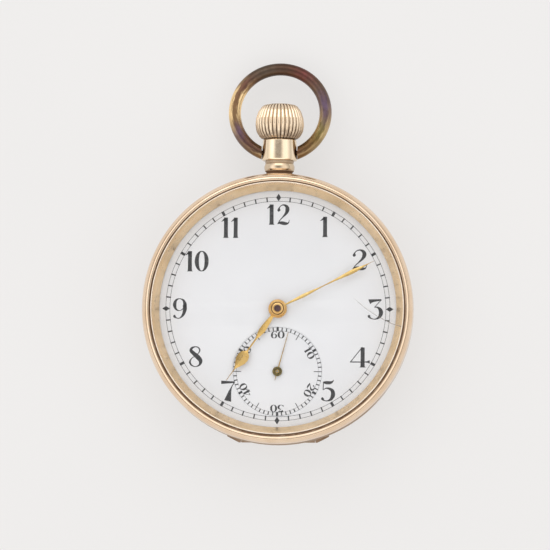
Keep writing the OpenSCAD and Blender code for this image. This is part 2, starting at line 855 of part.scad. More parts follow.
module hour_wheel() {
    color("Gold") difference() {
        union() {
            translate([0, 0, 8.05]) linear_extrude(0.2)
                rotate(dir(centre, minute_at)) gear2d(hour_teeth, hour_m);
            disc(0.95, 8.05, 9.7);
        }
        disc(0.58 + fit, 7, 11);
    }
}

module dial() {
    color("White") difference() {
        union() {
            disc(dial_r, plate_z1, dial_z1);
            for (a = foot_angles) at(polar(centre, 18, a)) disc(0.4, 7.3, 8.5);
        }
        disc(1.1, 7, 10);
        at(fourth) disc(0.4, 7, 10);
        at(fourth) disc(seconds_r, dial_z1 - 0.1, 10);
    }
}

// A flat hand with a raised boss, pointing to the angle clockwise from twelve
module hand(side, angle, z, boss_r, boss_z0, boss_z1, bore) {
    rotate(-angle) difference() {
        union() {
            translate([0, 0, z]) linear_extrude(0.14) blade2d(side);
            disc(boss_r, boss_z0, boss_z1);
        }
        disc(bore, boss_z0 - 1, boss_z1 + 1);
    }
}

module hour_hand() {
    s = hour_len / 16.3;
    color("Gold") hand([[0, 0.3], [1.6 * s, 0.22], [3 * s, 0.42], [4.67 * s, 0.575], [5.8 * s, 0.42],
        [6.8 * s, 0.17], [9.4 * s, 0.15], [9.9 * s, 0.55], [10.6 * s, 0.98], [11.2 * s, 1.1],
        [11.9 * s, 0.95], [12.7 * s, 0.5], [13.6 * s, 0.17], [hour_len, 0.03]],
        time_min / 2, 9.46, 1.7, 9.36, 9.76, 0.95);
}

module minute_hand() {
    s = minute_len / 19.8;
    color("Gold") hand([[0, 0.2], [1 * s, 0.14], [3 * s, 0.2], [5.3 * s, 0.3], [7.5 * s, 0.2],
        [9.5 * s, 0.1], [12 * s, 0.19], [15.4 * s, 0.385], [17.3 * s, 0.2], [minute_len, 0.03]],
        time_min * 6, 9.98, 1.45, 9.88, 10.25, 0.58);
}

module seconds_hand() {
    color("Goldenrod") at(fourth) hand([[-1.7, 0.1], [0, 0.14], [seconds_len, 0.05]],
        time_sec * 6, 9.02, 0.89, 8.94, 9.26, pivot_r);
}

// ---- Jewels and fasteners ----

module jewel(z0, z1) {
    washer(jewel_r, pivot_r + fit, z0, z1);
}

module jewels() {
    color("Crimson") {
        for (p = jewel_spots) at(p) {
            jewel(4.05, 4.9);
            jewel(6.95, 7.7);
        }
        for (p = [pallet, balance]) at(p) jewel(6.95, 7.7);
        at(pallet) washer(0.4, pivot_r + fit, 5.06, 5.4);
        at(balance) jewel(3.3, cock_z1 - 0.02);
        washer(jewel_r, 0.25 + fit, 4.0, 4.9);
    }
}

module bridge_screws() {
    color("RoyalBlue") {
        for (a = [12, 45, 74, 262, 300, 332]) at(polar(centre, screw_ring, a))
            screw(1, 0.45, 0.47, 3.7, 3.78);
    }
}

module cock_screws() {
    color("RoyalBlue") {
        at(cock_screw_at) screw(1, 0.4, 0.47, 4.5, 2.98);
        for (p = pallet_feet) at(p) screw(0.5, 0.15, 0.28, 2.6, 4.9);
    }
}

module case_screws() {
    color("RoyalBlue") for (a = [150, 330]) at(polar(centre, 21.55, a)) {
        disc(0.24, 6.6, 8.2);
        disc(0.38, 8.12, 8.38);
    }
}

case_band();
pendant();
bezel();
crystal();
back_cover();
cuvette();
hinge_pin();
bow();
crown();
stem();
setting_lever();
yoke();
winding_pinion();
clutch();
crown_wheel();
crown_wheel_screw();
ratchet_wheel();
ratchet_screw();
click();
click_screw();
click_spring();
mainplate();
barrel_bridge();
train_bridge();
pallet_cock();
balance_cock();
barrel();
barrel_cover();
barrel_arbor();
mainspring();
centre_arbor();
centre_wheel();
third_pinion();
third_wheel();
fourth_pinion();
fourth_wheel();
escape_pinion();
escape_wheel();
pallet_fork();
pallet_stones();
balance_staff();
balance_wheel();
balance_screws();
impulse_jewel();
hairspring();
hairspring_stud();
regulator();
endstone();
cannon_pinion();
minute_wheel();
hour_wheel();
dial();
hour_hand();
minute_hand();
seconds_hand();
jewels();
bridge_screws();
cock_screws();
case_screws();
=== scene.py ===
import math

import bmesh
import bpy
from mathutils import Matrix, Vector
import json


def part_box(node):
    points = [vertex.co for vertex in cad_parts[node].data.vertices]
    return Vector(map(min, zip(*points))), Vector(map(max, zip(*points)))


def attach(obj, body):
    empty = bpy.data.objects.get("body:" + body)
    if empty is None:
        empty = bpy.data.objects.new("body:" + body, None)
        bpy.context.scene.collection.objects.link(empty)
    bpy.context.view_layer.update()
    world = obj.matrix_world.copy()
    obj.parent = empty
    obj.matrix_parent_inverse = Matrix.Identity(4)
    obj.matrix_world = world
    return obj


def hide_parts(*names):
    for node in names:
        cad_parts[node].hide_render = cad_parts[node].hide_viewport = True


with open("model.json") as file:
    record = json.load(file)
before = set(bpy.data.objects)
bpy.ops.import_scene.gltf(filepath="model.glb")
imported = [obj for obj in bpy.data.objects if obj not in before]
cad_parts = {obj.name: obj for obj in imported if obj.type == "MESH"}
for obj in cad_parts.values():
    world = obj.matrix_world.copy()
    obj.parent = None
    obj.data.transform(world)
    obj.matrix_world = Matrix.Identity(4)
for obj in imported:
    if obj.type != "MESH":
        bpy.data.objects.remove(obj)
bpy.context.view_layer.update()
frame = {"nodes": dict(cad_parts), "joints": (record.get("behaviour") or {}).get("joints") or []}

# Points and sizes are in millimetres, and distances in materials are in metres.
MM = 0.001
STEPS = 256
TAU = 2 * math.pi
ON_AXIS = 1e-6
MICRON = 1e-6
WELD_DISTANCE = 1e-7
TURNED_SHARP = 32
JOINTS = {j["name"]: j for j in frame["joints"]}


# ---- Places read from the CAD, in millimetres ----

def pivot(joint):
    return [c / MM for c in JOINTS[joint]["pos_m"]]


def low(node):
    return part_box(node)[0] / MM


def high(node):
    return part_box(node)[1] / MM


case_r = high("bezel").x
opening_r = case_r - 3.15
crystal_r = high("crystal").x
crystal_top = high("crystal").z
dial_r = high("dial").x
dial_top = high("dial").z
seconds_at = pivot("seconds_turn")[:2]
stem_z = pivot("bow_swing")[2]
bow_pivot = pivot("bow_swing")[1]


# ---- Mesh helpers ----

def link(obj):
    bpy.context.scene.collection.objects.link(obj)
    return obj


def smooth_object(name, mesh, sharp, weld=False):
    """An object of the mesh with its normals outward, smooth but for edges past the sharp angle."""
    work = bmesh.new()
    work.from_mesh(mesh)
    if weld:
        bmesh.ops.remove_doubles(work, verts=work.verts, dist=WELD_DISTANCE)
    bmesh.ops.recalc_face_normals(work, faces=work.faces)
    work.to_mesh(mesh)
    work.free()
    for polygon in mesh.polygons:
        polygon.use_smooth = True
    mesh.set_sharp_from_angle(angle=math.radians(sharp))
    return link(bpy.data.objects.new(name, mesh))


def make_object(name, verts, faces, materials, sharp=TURNED_SHARP, material_of=None):
    """A smooth-shaded mesh object from millimetre points."""
    mesh = bpy.data.meshes.new(name)
    mesh.from_pydata([[c * MM for c in v] for v in verts], [], faces)
    for m in materials:
        mesh.materials.append(m)
    if material_of:
        for polygon, index in zip(mesh.polygons, material_of):
            polygon.material_index = index
    return smooth_object(name, mesh, sharp)


def add_attribute(obj, label, values):
    obj.data.attributes.new(label, "FLOAT", "POINT").data.foreach_set("value", values)


def rounded(outline, closed=True, steps=5):
    """The outline with each corner that carries a third number rounded to about that radius."""
    points = []
    n = len(outline)
    for i, corner in enumerate(outline):
        here = Vector(corner[:2])
        if len(corner) < 3 or (not closed and i in (0, n - 1)):
            points.append(tuple(here))
            continue
        before = Vector(outline[i - 1][:2]) - here
        after = Vector(outline[(i + 1) % n][:2]) - here
        turn = math.pi - before.angle(after)
        reach = min(corner[2] * math.tan(turn / 2), 0.48 * before.length, 0.48 * after.length)
        a = here + before.normalized() * reach
        b = here + after.normalized() * reach
        for k in range(steps + 1):
            t = k / steps
            points.append(tuple(a * (1 - t) ** 2 + here * 2 * t * (1 - t) + b * t * t))
    return points


def upright(x, y, z):
    return (x, y, z)


def on_stem(x, y, z):
    return (x, z, stem_z - y)


def skin_rows(rows, steps):
    """Faces between each ring of points and the next, and the number of the ring each starts from."""
    faces, starts = [], []
    for i, row in enumerate(rows):
        after = rows[(i + 1) % len(rows)]
        if len(row) == 1 and len(after) == 1:
            continue
        for k in range(steps):
            m = (k + 1) % steps
            face = [row[k % len(row)], row[m % len(row)], after[m % len(after)], after[k % len(after)]]
            faces.append(list(dict.fromkeys(face)))
            starts.append(i)
    return faces, starts


def lathe(name, outline, materials, place=upright, steps=STEPS, centre=(0, 0), zone=None):
    """A turned solid from a closed outline. zone gives a material index by radius and height."""
    verts, rows = [], []
    for r, z in outline:
        count = 1 if r < ON_AXIS else steps
        rows.append([len(verts) + k for k in range(count)])
        for k in range(count):
            a = TAU * k / steps
            verts.append(place(r * math.cos(a) + centre[0], r * math.sin(a) + centre[1], z))
    faces, starts = skin_rows(rows, steps)
    indices = []
    for i in starts:
        middle = [(p + q) / 2 for p, q in zip(outline[i], outline[(i + 1) % len(outline)])]
        indices.append(zone(*middle) if zone else 0)
    return make_object(name, verts, faces, materials, TURNED_SHARP, indices)


def evaluated_mesh(obj):
    graph = bpy.context.evaluated_depsgraph_get()
    return bpy.data.meshes.new_from_object(obj.evaluated_get(graph))


def cut(obj, cutter):
    """Cuts one solid out of another and keeps the smooth shading."""
    modifier = obj.modifiers.new("cut", "BOOLEAN")
    modifier.object = cutter
    modifier.operation = "DIFFERENCE"
    modifier.solver = "EXACT"
    mesh = evaluated_mesh(obj)
    obj.modifiers.clear()
    obj.data = mesh
    bpy.data.objects.remove(cutter)
    obj.data.set_sharp_from_angle(angle=math.radians(TURNED_SHARP))


def finish_piece(obj, body, slot, *nodes):
    """Ties a piece to its body and hides the CAD nodes that it stands for. The slot it is given is not used.
    """
    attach(obj, body)
    if nodes:
        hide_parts(*nodes)
    return obj


# ---- Node helpers ----

MIX_A, MIX_B, MIX_RESULT = 6, 7, 2
NOISE_LOW, NOISE_HIGH = 0.3, 0.7


def with_alpha(colour):
    """A plain colour with full alpha. A socket stays as it is."""
    return colour if isinstance(colour, bpy.types.NodeSocket) else (*colour, 1)


class Nodes:
    """Builds a node tree with short calls."""

    def __init__(self, tree, coords):
        self.tree = tree
        self.coords = self.node("ShaderNodeTexCoord").outputs[coords]

    def node(self, kind, inputs=None, **settings):
        """A new node with its settings, and the values or sources of its inputs."""
        made = self.tree.nodes.new(kind)
        for key, value in settings.items():
            setattr(made, key, value)
        for key, value in (inputs or {}).items():
            self.put(made.inputs[key], value)
        return made

    def put(self, socket, value):
        """Links a socket, or sets a plain value."""
        if isinstance(value, bpy.types.NodeSocket):
            self.tree.links.new(value, socket)
        else:
            socket.default_value = value

    def math(self, operation, a, b=0.0, clamp=False):
        made = self.node("ShaderNodeMath", {0: a, 1: b}, operation=operation, use_clamp=clamp)
        return made.outputs[0]

    def product(self, *values):
        result = values[0]
        for value in values[1:]:
            result = self.math("MULTIPLY", result, value)
        return result

    def highest(self, *values):
        result = values[0]
        for value in values[1:]:
            result = self.math("MAXIMUM", result, value)
        return result

    def scaled(self, x, y, z):
        made = self.node("ShaderNodeVectorMath", {0: self.coords, 1: (x, y, z)}, operation="MULTIPLY")
        return made.outputs[0]

    def noise(self, scale, detail=3, rough=0.55, vector=None, distort=0.0):
        inputs = {"Vector": vector or self.coords, "Scale": scale, "Detail": detail, "Roughness": rough,
                  "Distortion": distort}
        return self.node("ShaderNodeTexNoise", inputs).outputs["Fac"]

    def remap(self, value, a, b, c=0.0, d=1.0, kind="SMOOTHSTEP"):
        inputs = {"Value": value, "From Min": a, "From Max": b, "To Min": c, "To Max": d}
        return self.node("ShaderNodeMapRange", inputs, interpolation_type=kind).outputs["Result"]

    def ramp(self, value, stops):
        made = self.node("ShaderNodeValToRGB", {0: value})
        elements = made.color_ramp.elements
        while len(elements) < len(stops):
            elements.new(0.5)
        for element, (position, colour) in zip(elements, stops):
            element.position = position
            element.color = (*colour, 1)
        return made.outputs["Color"]

    def mix(self, factor, a, b, blend="MIX"):
        inputs = {"Factor": factor, MIX_A: with_alpha(a), MIX_B: with_alpha(b)}
        return self.node("ShaderNodeMix", inputs, data_type="RGBA", blend_type=blend).outputs[MIX_RESULT]

    def vary(self, least, most, scale, detail=3, rough=0.55):
        """A value that wanders between two others."""
        return self.remap(self.noise(scale, detail, rough), NOISE_LOW, NOISE_HIGH, least, most)

    def drift(self, light, deep, scale, detail=3, rough=0.55):
        """A colour that wanders between two tones."""
        return self.mix(self.vary(0, 1, scale, detail, rough), light, deep)

    def axes(self):
        return self.node("ShaderNodeSeparateXYZ", {0: self.coords}).outputs

    def radius(self, centre=(0, 0)):
        """Distance in metres from an upright axis whose place is in millimetres."""
        x, y, _ = self.axes()
        dx = self.math("SUBTRACT", x, centre[0] * MM)
        dy = self.math("SUBTRACT", y, centre[1] * MM)
        return self.math("SQRT", self.math("ADD", self.product(dx, dx), self.product(dy, dy)))

    def attribute(self, name):
        return self.node("ShaderNodeAttribute", attribute_name=name).outputs["Fac"]


class Shader(Nodes):
    """A material laid out in the piece's own coordinates."""

    def __init__(self, name):
        self.material = bpy.data.materials.new(name)
        self.material.use_nodes = True
        super().__init__(self.material.node_tree, "Object")
        self.surface = self.tree.nodes["Principled BSDF"]
        self.output = self.tree.nodes["Material Output"]

    def base(self, value):
        self.put(self.surface.inputs["Base Color"], with_alpha(value))

    def set(self, **values):
        for key, value in values.items():
            self.put(self.surface.inputs[key.replace("_", " ")], value)

    def bump(self, height, strength, microns):
        inputs = {"Strength": strength, "Distance": microns * MICRON, "Height": height}
        self.set(Normal=self.node("ShaderNodeBump", inputs).outputs["Normal"])


# ---- Materials ----

def gold(name, light, deep, rough, scratch, shade_and_dirt=None):
    """Worn polished gold with fine rubbed scratches. An optional mask gives the share of dry brown soiling
    and painted shade.
    """
    s = Shader(name)
    colour = s.drift(light, deep, 160, 4, 0.6)
    rub = s.noise(900, 5, 0.7, s.scaled(1, 1, 2.5), 1.5)
    fine = s.noise(2600, 2, 0.5, s.scaled(1, 6, 1))
    polish = s.remap(rub, 0.3, 0.75, rough * 0.75, rough * 1.5, "LINEAR")
    if shade_and_dirt:
        # The mask darkens the gold towards dry brown: dirt in joints, and painted shade where a piece has it.
        darkening = shade_and_dirt(s)
        s.base(s.mix(darkening, colour, (0.15, 0.08, 0.04)))
        dry = s.highest(polish, s.remap(darkening, 0.3, 0.9, 0, 0.65))
        s.set(Metallic=s.remap(darkening, 0.35, 0.85, 1, 0), Roughness=dry, Specular_IOR_Level=0.15)
    else:
        s.base(colour)
        s.set(Metallic=1.0, Roughness=polish)
    s.bump(s.math("ADD", rub, fine), scratch, 4)
    return s.material


def bezel_dirt(s):
    """Painted shadow in the slot round the crystal, which sits a little high, old polish in the bezel's
    joints, and a darker line in the step on its top.
    """
    z = s.axes()[2]
    outwards = s.radius()
    off_centre = s.radius((0, -0.13))
    # Painted shadow of the gap between the crystal and the bezel.
    slot = s.product(s.remap(outwards, 0.0234, 0.02346), s.remap(off_centre, 0.02363, 0.02371, 1, 0),
                     s.remap(z, 0.0112, 0.01125))
    joint = s.product(s.remap(outwards, 0.0245, 0.0246), s.remap(z, 0.0092, 0.0096, 1, 0))
    step = s.product(s.remap(outwards, 0.02418, 0.02423), s.remap(outwards, 0.02427, 0.02434, 0.6, 0),
                     s.remap(z, 0.0112, 0.0115))
    return s.product(s.highest(slot, joint, step), s.remap(s.noise(700, 3, 0.6), 0.25, 0.6, 0.8, 1))


def body_dirt(s):
    """Dirt in the joints of the band, painted shade on the hinge, and painted shade low on the band,
    strongest at the front.
    """
    _, y, z = s.axes()
    outwards = s.radius()
    upper = s.remap(z, 0.0085, 0.00875)
    lower = s.product(s.remap(z, 0.0033, 0.0035), s.remap(z, 0.00356, 0.0038, 1, 0))
    # Painted shade on the hinge lugs, which sit under the band.
    hinge = s.product(s.remap(outwards, 0.02485, 0.02497, 0, 0.9), s.remap(z, 0.0045, 0.005, 1, 0))
    # Painted shade low on the band, strongest at the front: it stands in for the shadowed floor that the band
    # reflects.
    tone = s.product(s.remap(y, -0.02, -0.01, 0.85, 0.3), s.remap(z, 0.0076, 0.0087, 1, 0))
    return s.product(s.highest(upper, lower, hinge, tone), s.remap(outwards, 0.024, 0.0243, 0, 0.9))


def pendant_dirt(s):
    """Painted shade at the pendant's foot under its bead, and a painted reflection on its front. Dirt on the
    bead and under its shoulder.
    """
    x, y, z = s.axes()
    # Painted shade on the neck under the bead, and a lighter share of the dark tone on the bead itself.
    bead = s.product(s.remap(y, 0.0255, 0.0259, 1, 0.3), s.remap(y, 0.0270, 0.0277, 1, 0))
    shoulder = s.product(s.remap(y, 0.02695, 0.0271), s.remap(y, 0.02755, 0.0277, 0.6, 0))
    # Painted reflection: a darker patch on top of the front, standing in for the dark overhead that it
    # reflects.
    patch = s.product(s.remap(s.math("ABSOLUTE", x), 0.0004, 0.0011, 1, 0), s.remap(y, 0.0280, 0.0286),
                      s.remap(y, 0.0308, 0.0312, 1, 0), s.remap(z, 0.007, 0.008),
                      s.remap(s.noise(1500, 3, 0.6), 0.4, 0.62, 0.03, 0.16))
    return s.highest(bead, shoulder, patch)


PALE = (0.90, 0.71, 0.53)
ROSE = (0.82, 0.61, 0.42)
gold_bezel = gold("gold_bezel", PALE, ROSE, rough=0.13, scratch=0.08, shade_and_dirt=bezel_dirt)
gold_body = gold("gold_body", PALE, ROSE, rough=0.15, scratch=0.12, shade_and_dirt=body_dirt)
# On the bezel's inner slope this deeper, more orange gold is painted reflection, for the gold wall reflected
# in itself; the dust cover takes the same gold.
gold_inner = gold("gold_inner", (0.90, 0.69, 0.45), (0.82, 0.60, 0.35), rough=0.3, scratch=0.1)
gold_pendant = gold("gold_pendant", (0.95, 0.79, 0.59), (0.90, 0.71, 0.49), rough=0.1, scratch=0.1,
                    shade_and_dirt=pendant_dirt)


def make_crown_gold():
    """Gold of the crown, with dirt in its grooves and at its foot."""
    s = Shader("gold_crown")
    worn = s.drift((0.97, 0.80, 0.60), (0.90, 0.70, 0.49), 260)
    foot = s.remap(s.axes()[1], 0.0318, 0.0348, 1, 0)
    at_foot = s.product(foot, s.remap(s.noise(900), 0.35, 0.6, 0.25, 0.75))
    uneven = s.remap(s.noise(600), 0.2, 0.55, 0.75, 1.0)
    darkening = s.product(s.highest(s.attribute("groove"), at_foot), uneven)
    s.base(s.mix(darkening, worn, (0.10, 0.05, 0.024)))
    s.set(Metallic=s.remap(darkening, 0.2, 0.8, 1, 0), Roughness=s.remap(darkening, 0, 1, 0.13, 0.6, "LINEAR"),
          Specular_IOR_Level=0.15)
    s.bump(s.noise(1800, 4, 0.65), 0.3, 4)
    return s.material


def make_bronze():
    """Bow wire: golden bronze under dark brown, red, olive and violet tarnish that varies along it, with
    painted highlight on its flanks and painted shade along its crest.
    """
    s = Shader("bow_bronze")
    along, flank = s.attribute("along"), s.attribute("flank")
    wire = s.node("ShaderNodeCombineXYZ", {0: s.product(along, 9.0), 1: flank, 2: s.attribute("upper")})
    streak = s.noise(3.2, 4, 0.6, wire.outputs[0])
    place = s.math("ADD", along, s.remap(streak, 0, 1, -0.045, 0.045, "LINEAR"))
    bare = [(0.0, 0.2), (0.05, 0.22), (0.1, 0.25), (0.15, 0.5), (0.2, 0.3), (0.25, 0.1), (0.3, 0.06),
            (0.38, 0.02), (0.5, 0.0), (0.62, 0.02), (0.67, 0.25), (0.71, 0.95), (0.79, 1.0), (0.835, 0.5),
            (0.88, 0.12), (0.95, 0.1), (1.0, 0.3)]
    clean = s.ramp(place, [(p, (v, v, v)) for p, v in bare])
    film = s.ramp(place, [(0.0, (0.12, 0.055, 0.03)), (0.08, (0.15, 0.09, 0.03)), (0.13, (0.16, 0.13, 0.04)),
                          (0.19, (0.11, 0.07, 0.085)), (0.24, (0.12, 0.08, 0.13)),
                          (0.32, (0.12, 0.075, 0.06)), (0.40, (0.15, 0.05, 0.045)),
                          (0.47, (0.095, 0.052, 0.036)), (0.58, (0.10, 0.075, 0.055)),
                          (0.67, (0.13, 0.06, 0.045)), (0.74, (0.12, 0.055, 0.03)),
                          (0.82, (0.15, 0.085, 0.04)), (0.87, (0.11, 0.065, 0.10)),
                          (0.93, (0.11, 0.055, 0.045)), (1.0, (0.09, 0.045, 0.03))])
    mottled = s.mix(s.remap(s.noise(1200, 4, 0.7), 0.35, 0.7, 0, 0.4), film, (0.055, 0.033, 0.02))
    # Painted light: more bare bright metal on the flanks and more dark film on the crest, standing in for the
    # bright sides and dark overhead that the wire reflects.
    side = s.math("ADD", s.math("ABSOLUTE", flank), s.remap(streak, 0.2, 0.8, -0.2, 0.2))
    share = s.math("MULTIPLY", clean, s.remap(side, 0.25, 0.65, 0.06, 1), True)
    s.base(s.mix(share, mottled, (1.0, 0.72, 0.38)))
    s.set(Metallic=1.0, Roughness=s.remap(share, 0, 1, 0.36, 0.14, "LINEAR"))
    s.bump(streak, 0.05, 30)
    return s.material


def make_enamel():
    s = Shader("dial_enamel")
    cloud = s.drift((0.80, 0.805, 0.825), (0.77, 0.775, 0.795), 60)
    speck = s.remap(s.noise(2400, 2, 0.5), 0.74, 0.8)
    s.base(s.mix(s.product(speck, 0.25), cloud, (0.55, 0.53, 0.5)))
    s.set(Roughness=s.vary(0.12, 0.2, 300), Coat_Weight=0.5, Coat_Roughness=0.06)
    s.bump(s.noise(180, 2), 0.15, 10)
    return s.material


def make_ink():
    """Fired black print, thinner and greyer in places."""
    s = Shader("dial_print")
    thin = s.remap(s.noise(1500, 4, 0.7), 0.45, 0.75)
    s.base(s.mix(thin, (0.024, 0.024, 0.027), (0.07, 0.07, 0.074)))
    s.set(Roughness=0.35, Coat_Weight=0.15)
    s.bump(s.noise(2500), 0.2, 3)
    return s.material


def make_hand_gold(name, light, deep, painted_shade=None):
    """Gilt of the hands. The last argument is the tone of painted shade that an attribute of the same name
    brings in.
    """
    s = Shader(name)
    colour = s.drift(light, deep, 500)
    s.base(s.mix(s.attribute("painted_shade"), colour, painted_shade) if painted_shade else colour)
    s.set(Metallic=1.0, Roughness=s.vary(0.24, 0.36, 1500))
    s.bump(s.noise(3000, 3, 0.6), 0.1, 3)
    return s.material


def make_steel(name, colour, rough, tint=None):
    """Brushed metal between a colour and its tint, or a darker shade where there is no tint."""
    s = Shader(name)
    s.base(s.drift(colour, tint or tuple(c * 0.8 for c in colour), 700))
    grain = s.noise(5000, 3, 0.6, s.scaled(1, 0.08, 1))
    s.set(Metallic=1.0, Roughness=s.remap(grain, NOISE_LOW, NOISE_HIGH, rough * 0.8, rough * 1.3))
    s.bump(grain, 0.25, 3)
    return s.material


def make_striped():
    """Gilt bridge metal with broad polishing stripes and a fine grain."""
    stripe_width = 0.0024
    s = Shader("gilt_striped")
    x, y, _ = s.axes()
    across = s.math("ADD", s.product(x, 0.6), s.product(y, 0.8))
    wave = s.math("FRACT", s.math("DIVIDE", across, stripe_width))
    s.base(s.drift((0.86, 0.67, 0.38), (0.78, 0.58, 0.31), 300, 4))
    s.set(Metallic=1.0, Roughness=s.vary(0.24, 0.36, 4000, 3, 0.6))
    s.bump(wave, 0.25, 30)
    return s.material


def make_spotted():
    """Gilt plate with overlapping ground spots."""
    s = Shader("gilt_spotted")
    cells = {"Vector": s.scaled(1, 1, 0.01), "Scale": 800, "Randomness": 0.25}
    spots = s.node("ShaderNodeTexVoronoi", cells, feature="F1").outputs["Distance"]
    rings = s.math("FRACT", s.product(spots, 4.0))
    s.base(s.drift((0.84, 0.64, 0.36), (0.74, 0.54, 0.28), 250, 4))
    s.set(Metallic=1.0, Roughness=s.remap(rings, 0, 1, 0.24, 0.38, "LINEAR"))
    s.bump(rings, 0.2, 10)
    return s.material


def make_ruby():
    s = Shader("ruby")
    s.base(s.mix(s.noise(900, 2), (0.55, 0.02, 0.06), (0.42, 0.01, 0.035)))
    s.set(Roughness=0.06, IOR=1.76, Coat_Weight=0.6, Subsurface_Weight=0.1, Subsurface_Scale=0.0005)
    return s.material


def make_clear():
    """Thin clear crystal. Its gloss grows towards the edge, and it has one curved hairline scratch."""
    s = Shader("crystal_clear")
    x, y, _ = s.axes()
    wobble = s.remap(s.noise(300, 2), 0, 1, -0.0002, 0.0002, "LINEAR")
    curve = s.math("ADD", s.product(x, x, 38.0), s.product(x, -1.996))
    line = s.math("ADD", curve, s.math("ADD", 0.02234, wobble))
    near = s.remap(s.math("ABSOLUTE", s.math("SUBTRACT", y, line)), 0.00004, 0.00010, 1, 0)
    scratch = s.product(near, s.remap(x, 0.0140, 0.0152), s.remap(x, 0.0226, 0.0231, 1, 0),
                        s.remap(x, 0.019, 0.0215, 0.35, 0.65))
    clear_part = s.node("ShaderNodeBsdfTransparent", {"Color": (0.995, 0.995, 0.995, 1)}).outputs[0]
    gloss = s.node("ShaderNodeBsdfGlossy", {"Roughness": 0.02}).outputs[0]
    facing = s.node("ShaderNodeLayerWeight").outputs["Facing"]
    share = s.math("ADD", s.product(s.math("POWER", facing, 5.0), 0.9), 0.03)
    glass = s.node("ShaderNodeMixShader", {0: share, 1: clear_part, 2: gloss}).outputs[0]
    s.base((0.30, 0.26, 0.22))
    s.set(Roughness=0.5)
    whole = s.node("ShaderNodeMixShader", {0: scratch, 1: glass, 2: s.surface.outputs[0]})
    s.put(s.output.inputs["Surface"], whole.outputs[0])
    return s.material


def make_plain(name, light, deep, scale, **values):
    s = Shader(name)
    s.base(s.drift(light, deep, scale))
    s.set(**values)
    return s.material


gold_crown = make_crown_gold()
bronze = make_bronze()
enamel = make_enamel()
ink = make_ink()
# Tone of the painted shade on the hands' clockwise side and thin parts.
HAND_SHADE = (0.27, 0.155, 0.035)
hand_gold = make_hand_gold("hand_gold", (0.78, 0.52, 0.18), (0.69, 0.44, 0.13), HAND_SHADE)
minute_gold = make_hand_gold("minute_gold", (0.72, 0.52, 0.20), (0.62, 0.42, 0.14), HAND_SHADE)
boss_gold = make_hand_gold("boss_gold", (0.93, 0.62, 0.25), (0.80, 0.47, 0.15))
boss_groove = make_hand_gold("boss_groove", (0.34, 0.17, 0.06), (0.24, 0.11, 0.04))
olive = make_hand_gold("boss_olive", (0.22, 0.17, 0.06), (0.13, 0.10, 0.035))
steel = make_steel("steel", (0.62, 0.62, 0.64), 0.25)
arbor_steel = make_steel("arbor_steel", (0.17, 0.10, 0.10), 0.35, (0.09, 0.05, 0.055))
blued = make_steel("blued_steel", (0.03, 0.055, 0.24), 0.2, (0.05, 0.035, 0.2))
brass = make_steel("brass", (0.85, 0.66, 0.34), 0.22, (0.76, 0.56, 0.26))
striped = make_striped()
spotted = make_spotted()
ruby = make_ruby()
clear = make_clear()
# Painted highlight: a pale cream on the crystal's bevel.
edge = make_plain("crystal_bevel_highlight", (1.0, 0.9, 0.76), (0.9, 0.77, 0.62), 600, Roughness=0.3, Coat_Weight=0.5)
# Painted shadow: a dark brown on the crystal's outer wall, for the shaded gap between it and the bezel.
gap_shadow = make_plain("crystal_gap_shadow", (0.12, 0.065, 0.03), (0.2, 0.11, 0.06), 900, Roughness=0.6)

CAD_FINISH = {
    gold_body: ["case_band"],
    steel: ["hinge_pin", "stem", "setting_lever", "yoke", "winding_pinion", "clutch", "crown_wheel",
            "ratchet_wheel", "click", "click_spring", "barrel_arbor", "third_pinion", "fourth_pinion",
            "escape_pinion", "escape_wheel", "pallet_fork", "balance_staff", "regulator", "hairspring_stud"],
    arbor_steel: ["centre_arbor", "cannon_pinion"],
    blued: ["crown_wheel_screw", "ratchet_screw", "click_screw", "hairspring", "bridge_screws", "cock_screws",
            "case_screws", "mainspring"],
    striped: ["barrel_bridge", "train_bridge", "balance_cock", "pallet_cock"],
    spotted: ["mainplate"],
    brass: ["barrel", "barrel_cover", "centre_wheel", "third_wheel", "fourth_wheel", "minute_wheel",
            "hour_wheel", "balance_wheel", "balance_screws"],
    ruby: ["jewels", "pallet_stones", "impulse_jewel", "endstone"],
}
for finish, names in CAD_FINISH.items():
    for name in names:
        for material_slot in frame["nodes"][name].material_slots:
            material_slot.material = finish


# ---- Case front ----

inner_edge = 23.2
bezel = lathe("bezel_ring", rounded([
    (opening_r, 9), (22.85, 8.96), (22.85, 9.46), (23.64, 9.46), (23.64, 8.93), (24.62, 8.93, 0.08),
    (24.92, 9.35, 0.3), (case_r, 10, 0.8), (24.93, 10.7, 0.8), (24.76, 11.3, 0.6), (24.5, 11.72, 0.3),
    (24.32, 11.88, 0.08), (24.23, 11.84, 0.05), (24.12, 12.02, 0.1), (23.9, 12.14, 0.25),
    (23.68, 12.14, 0.08), (23.5, 11.95, 0.08), (23.5, 11.25), (23.1, 11.25, 0.04), (22.62, 10.6, 1.5),
    (22.05, 9.6, 1.5), (opening_r, 9.3, 0.08)]),
    [gold_bezel, gold_inner], zone=lambda r, z: 1 if r < inner_edge else 0)
finish_piece(bezel, "case", "gold_case", "bezel")

glass_foot = 11.27
glass_r = crystal_r - 0.02
bevel_in, bevel_out = 23.15, 23.32
# The bevel takes the pale painted highlight and the outer wall the dark painted shadow of the gap.
crystal = lathe("crystal_glass", rounded([
    (0, glass_foot), (glass_r, glass_foot, 0.03), (glass_r, 11.84), (bevel_out, 11.92), (bevel_in, 12.08),
    (23.0, 12.12, 0.3), (20, 12.3, 6), (15, 12.46, 8), (9, 12.56, 8), (3, 12.595), (0, crystal_top - 0.002)],
    steps=8), [clear, edge, gap_shadow],
    zone=lambda r, z: 0 if r < bevel_in or z < glass_foot + 0.03 else 1 if r < bevel_out else 2)
finish_piece(crystal, "case", "crystal", "crystal")


# ---- Hinged lids ----

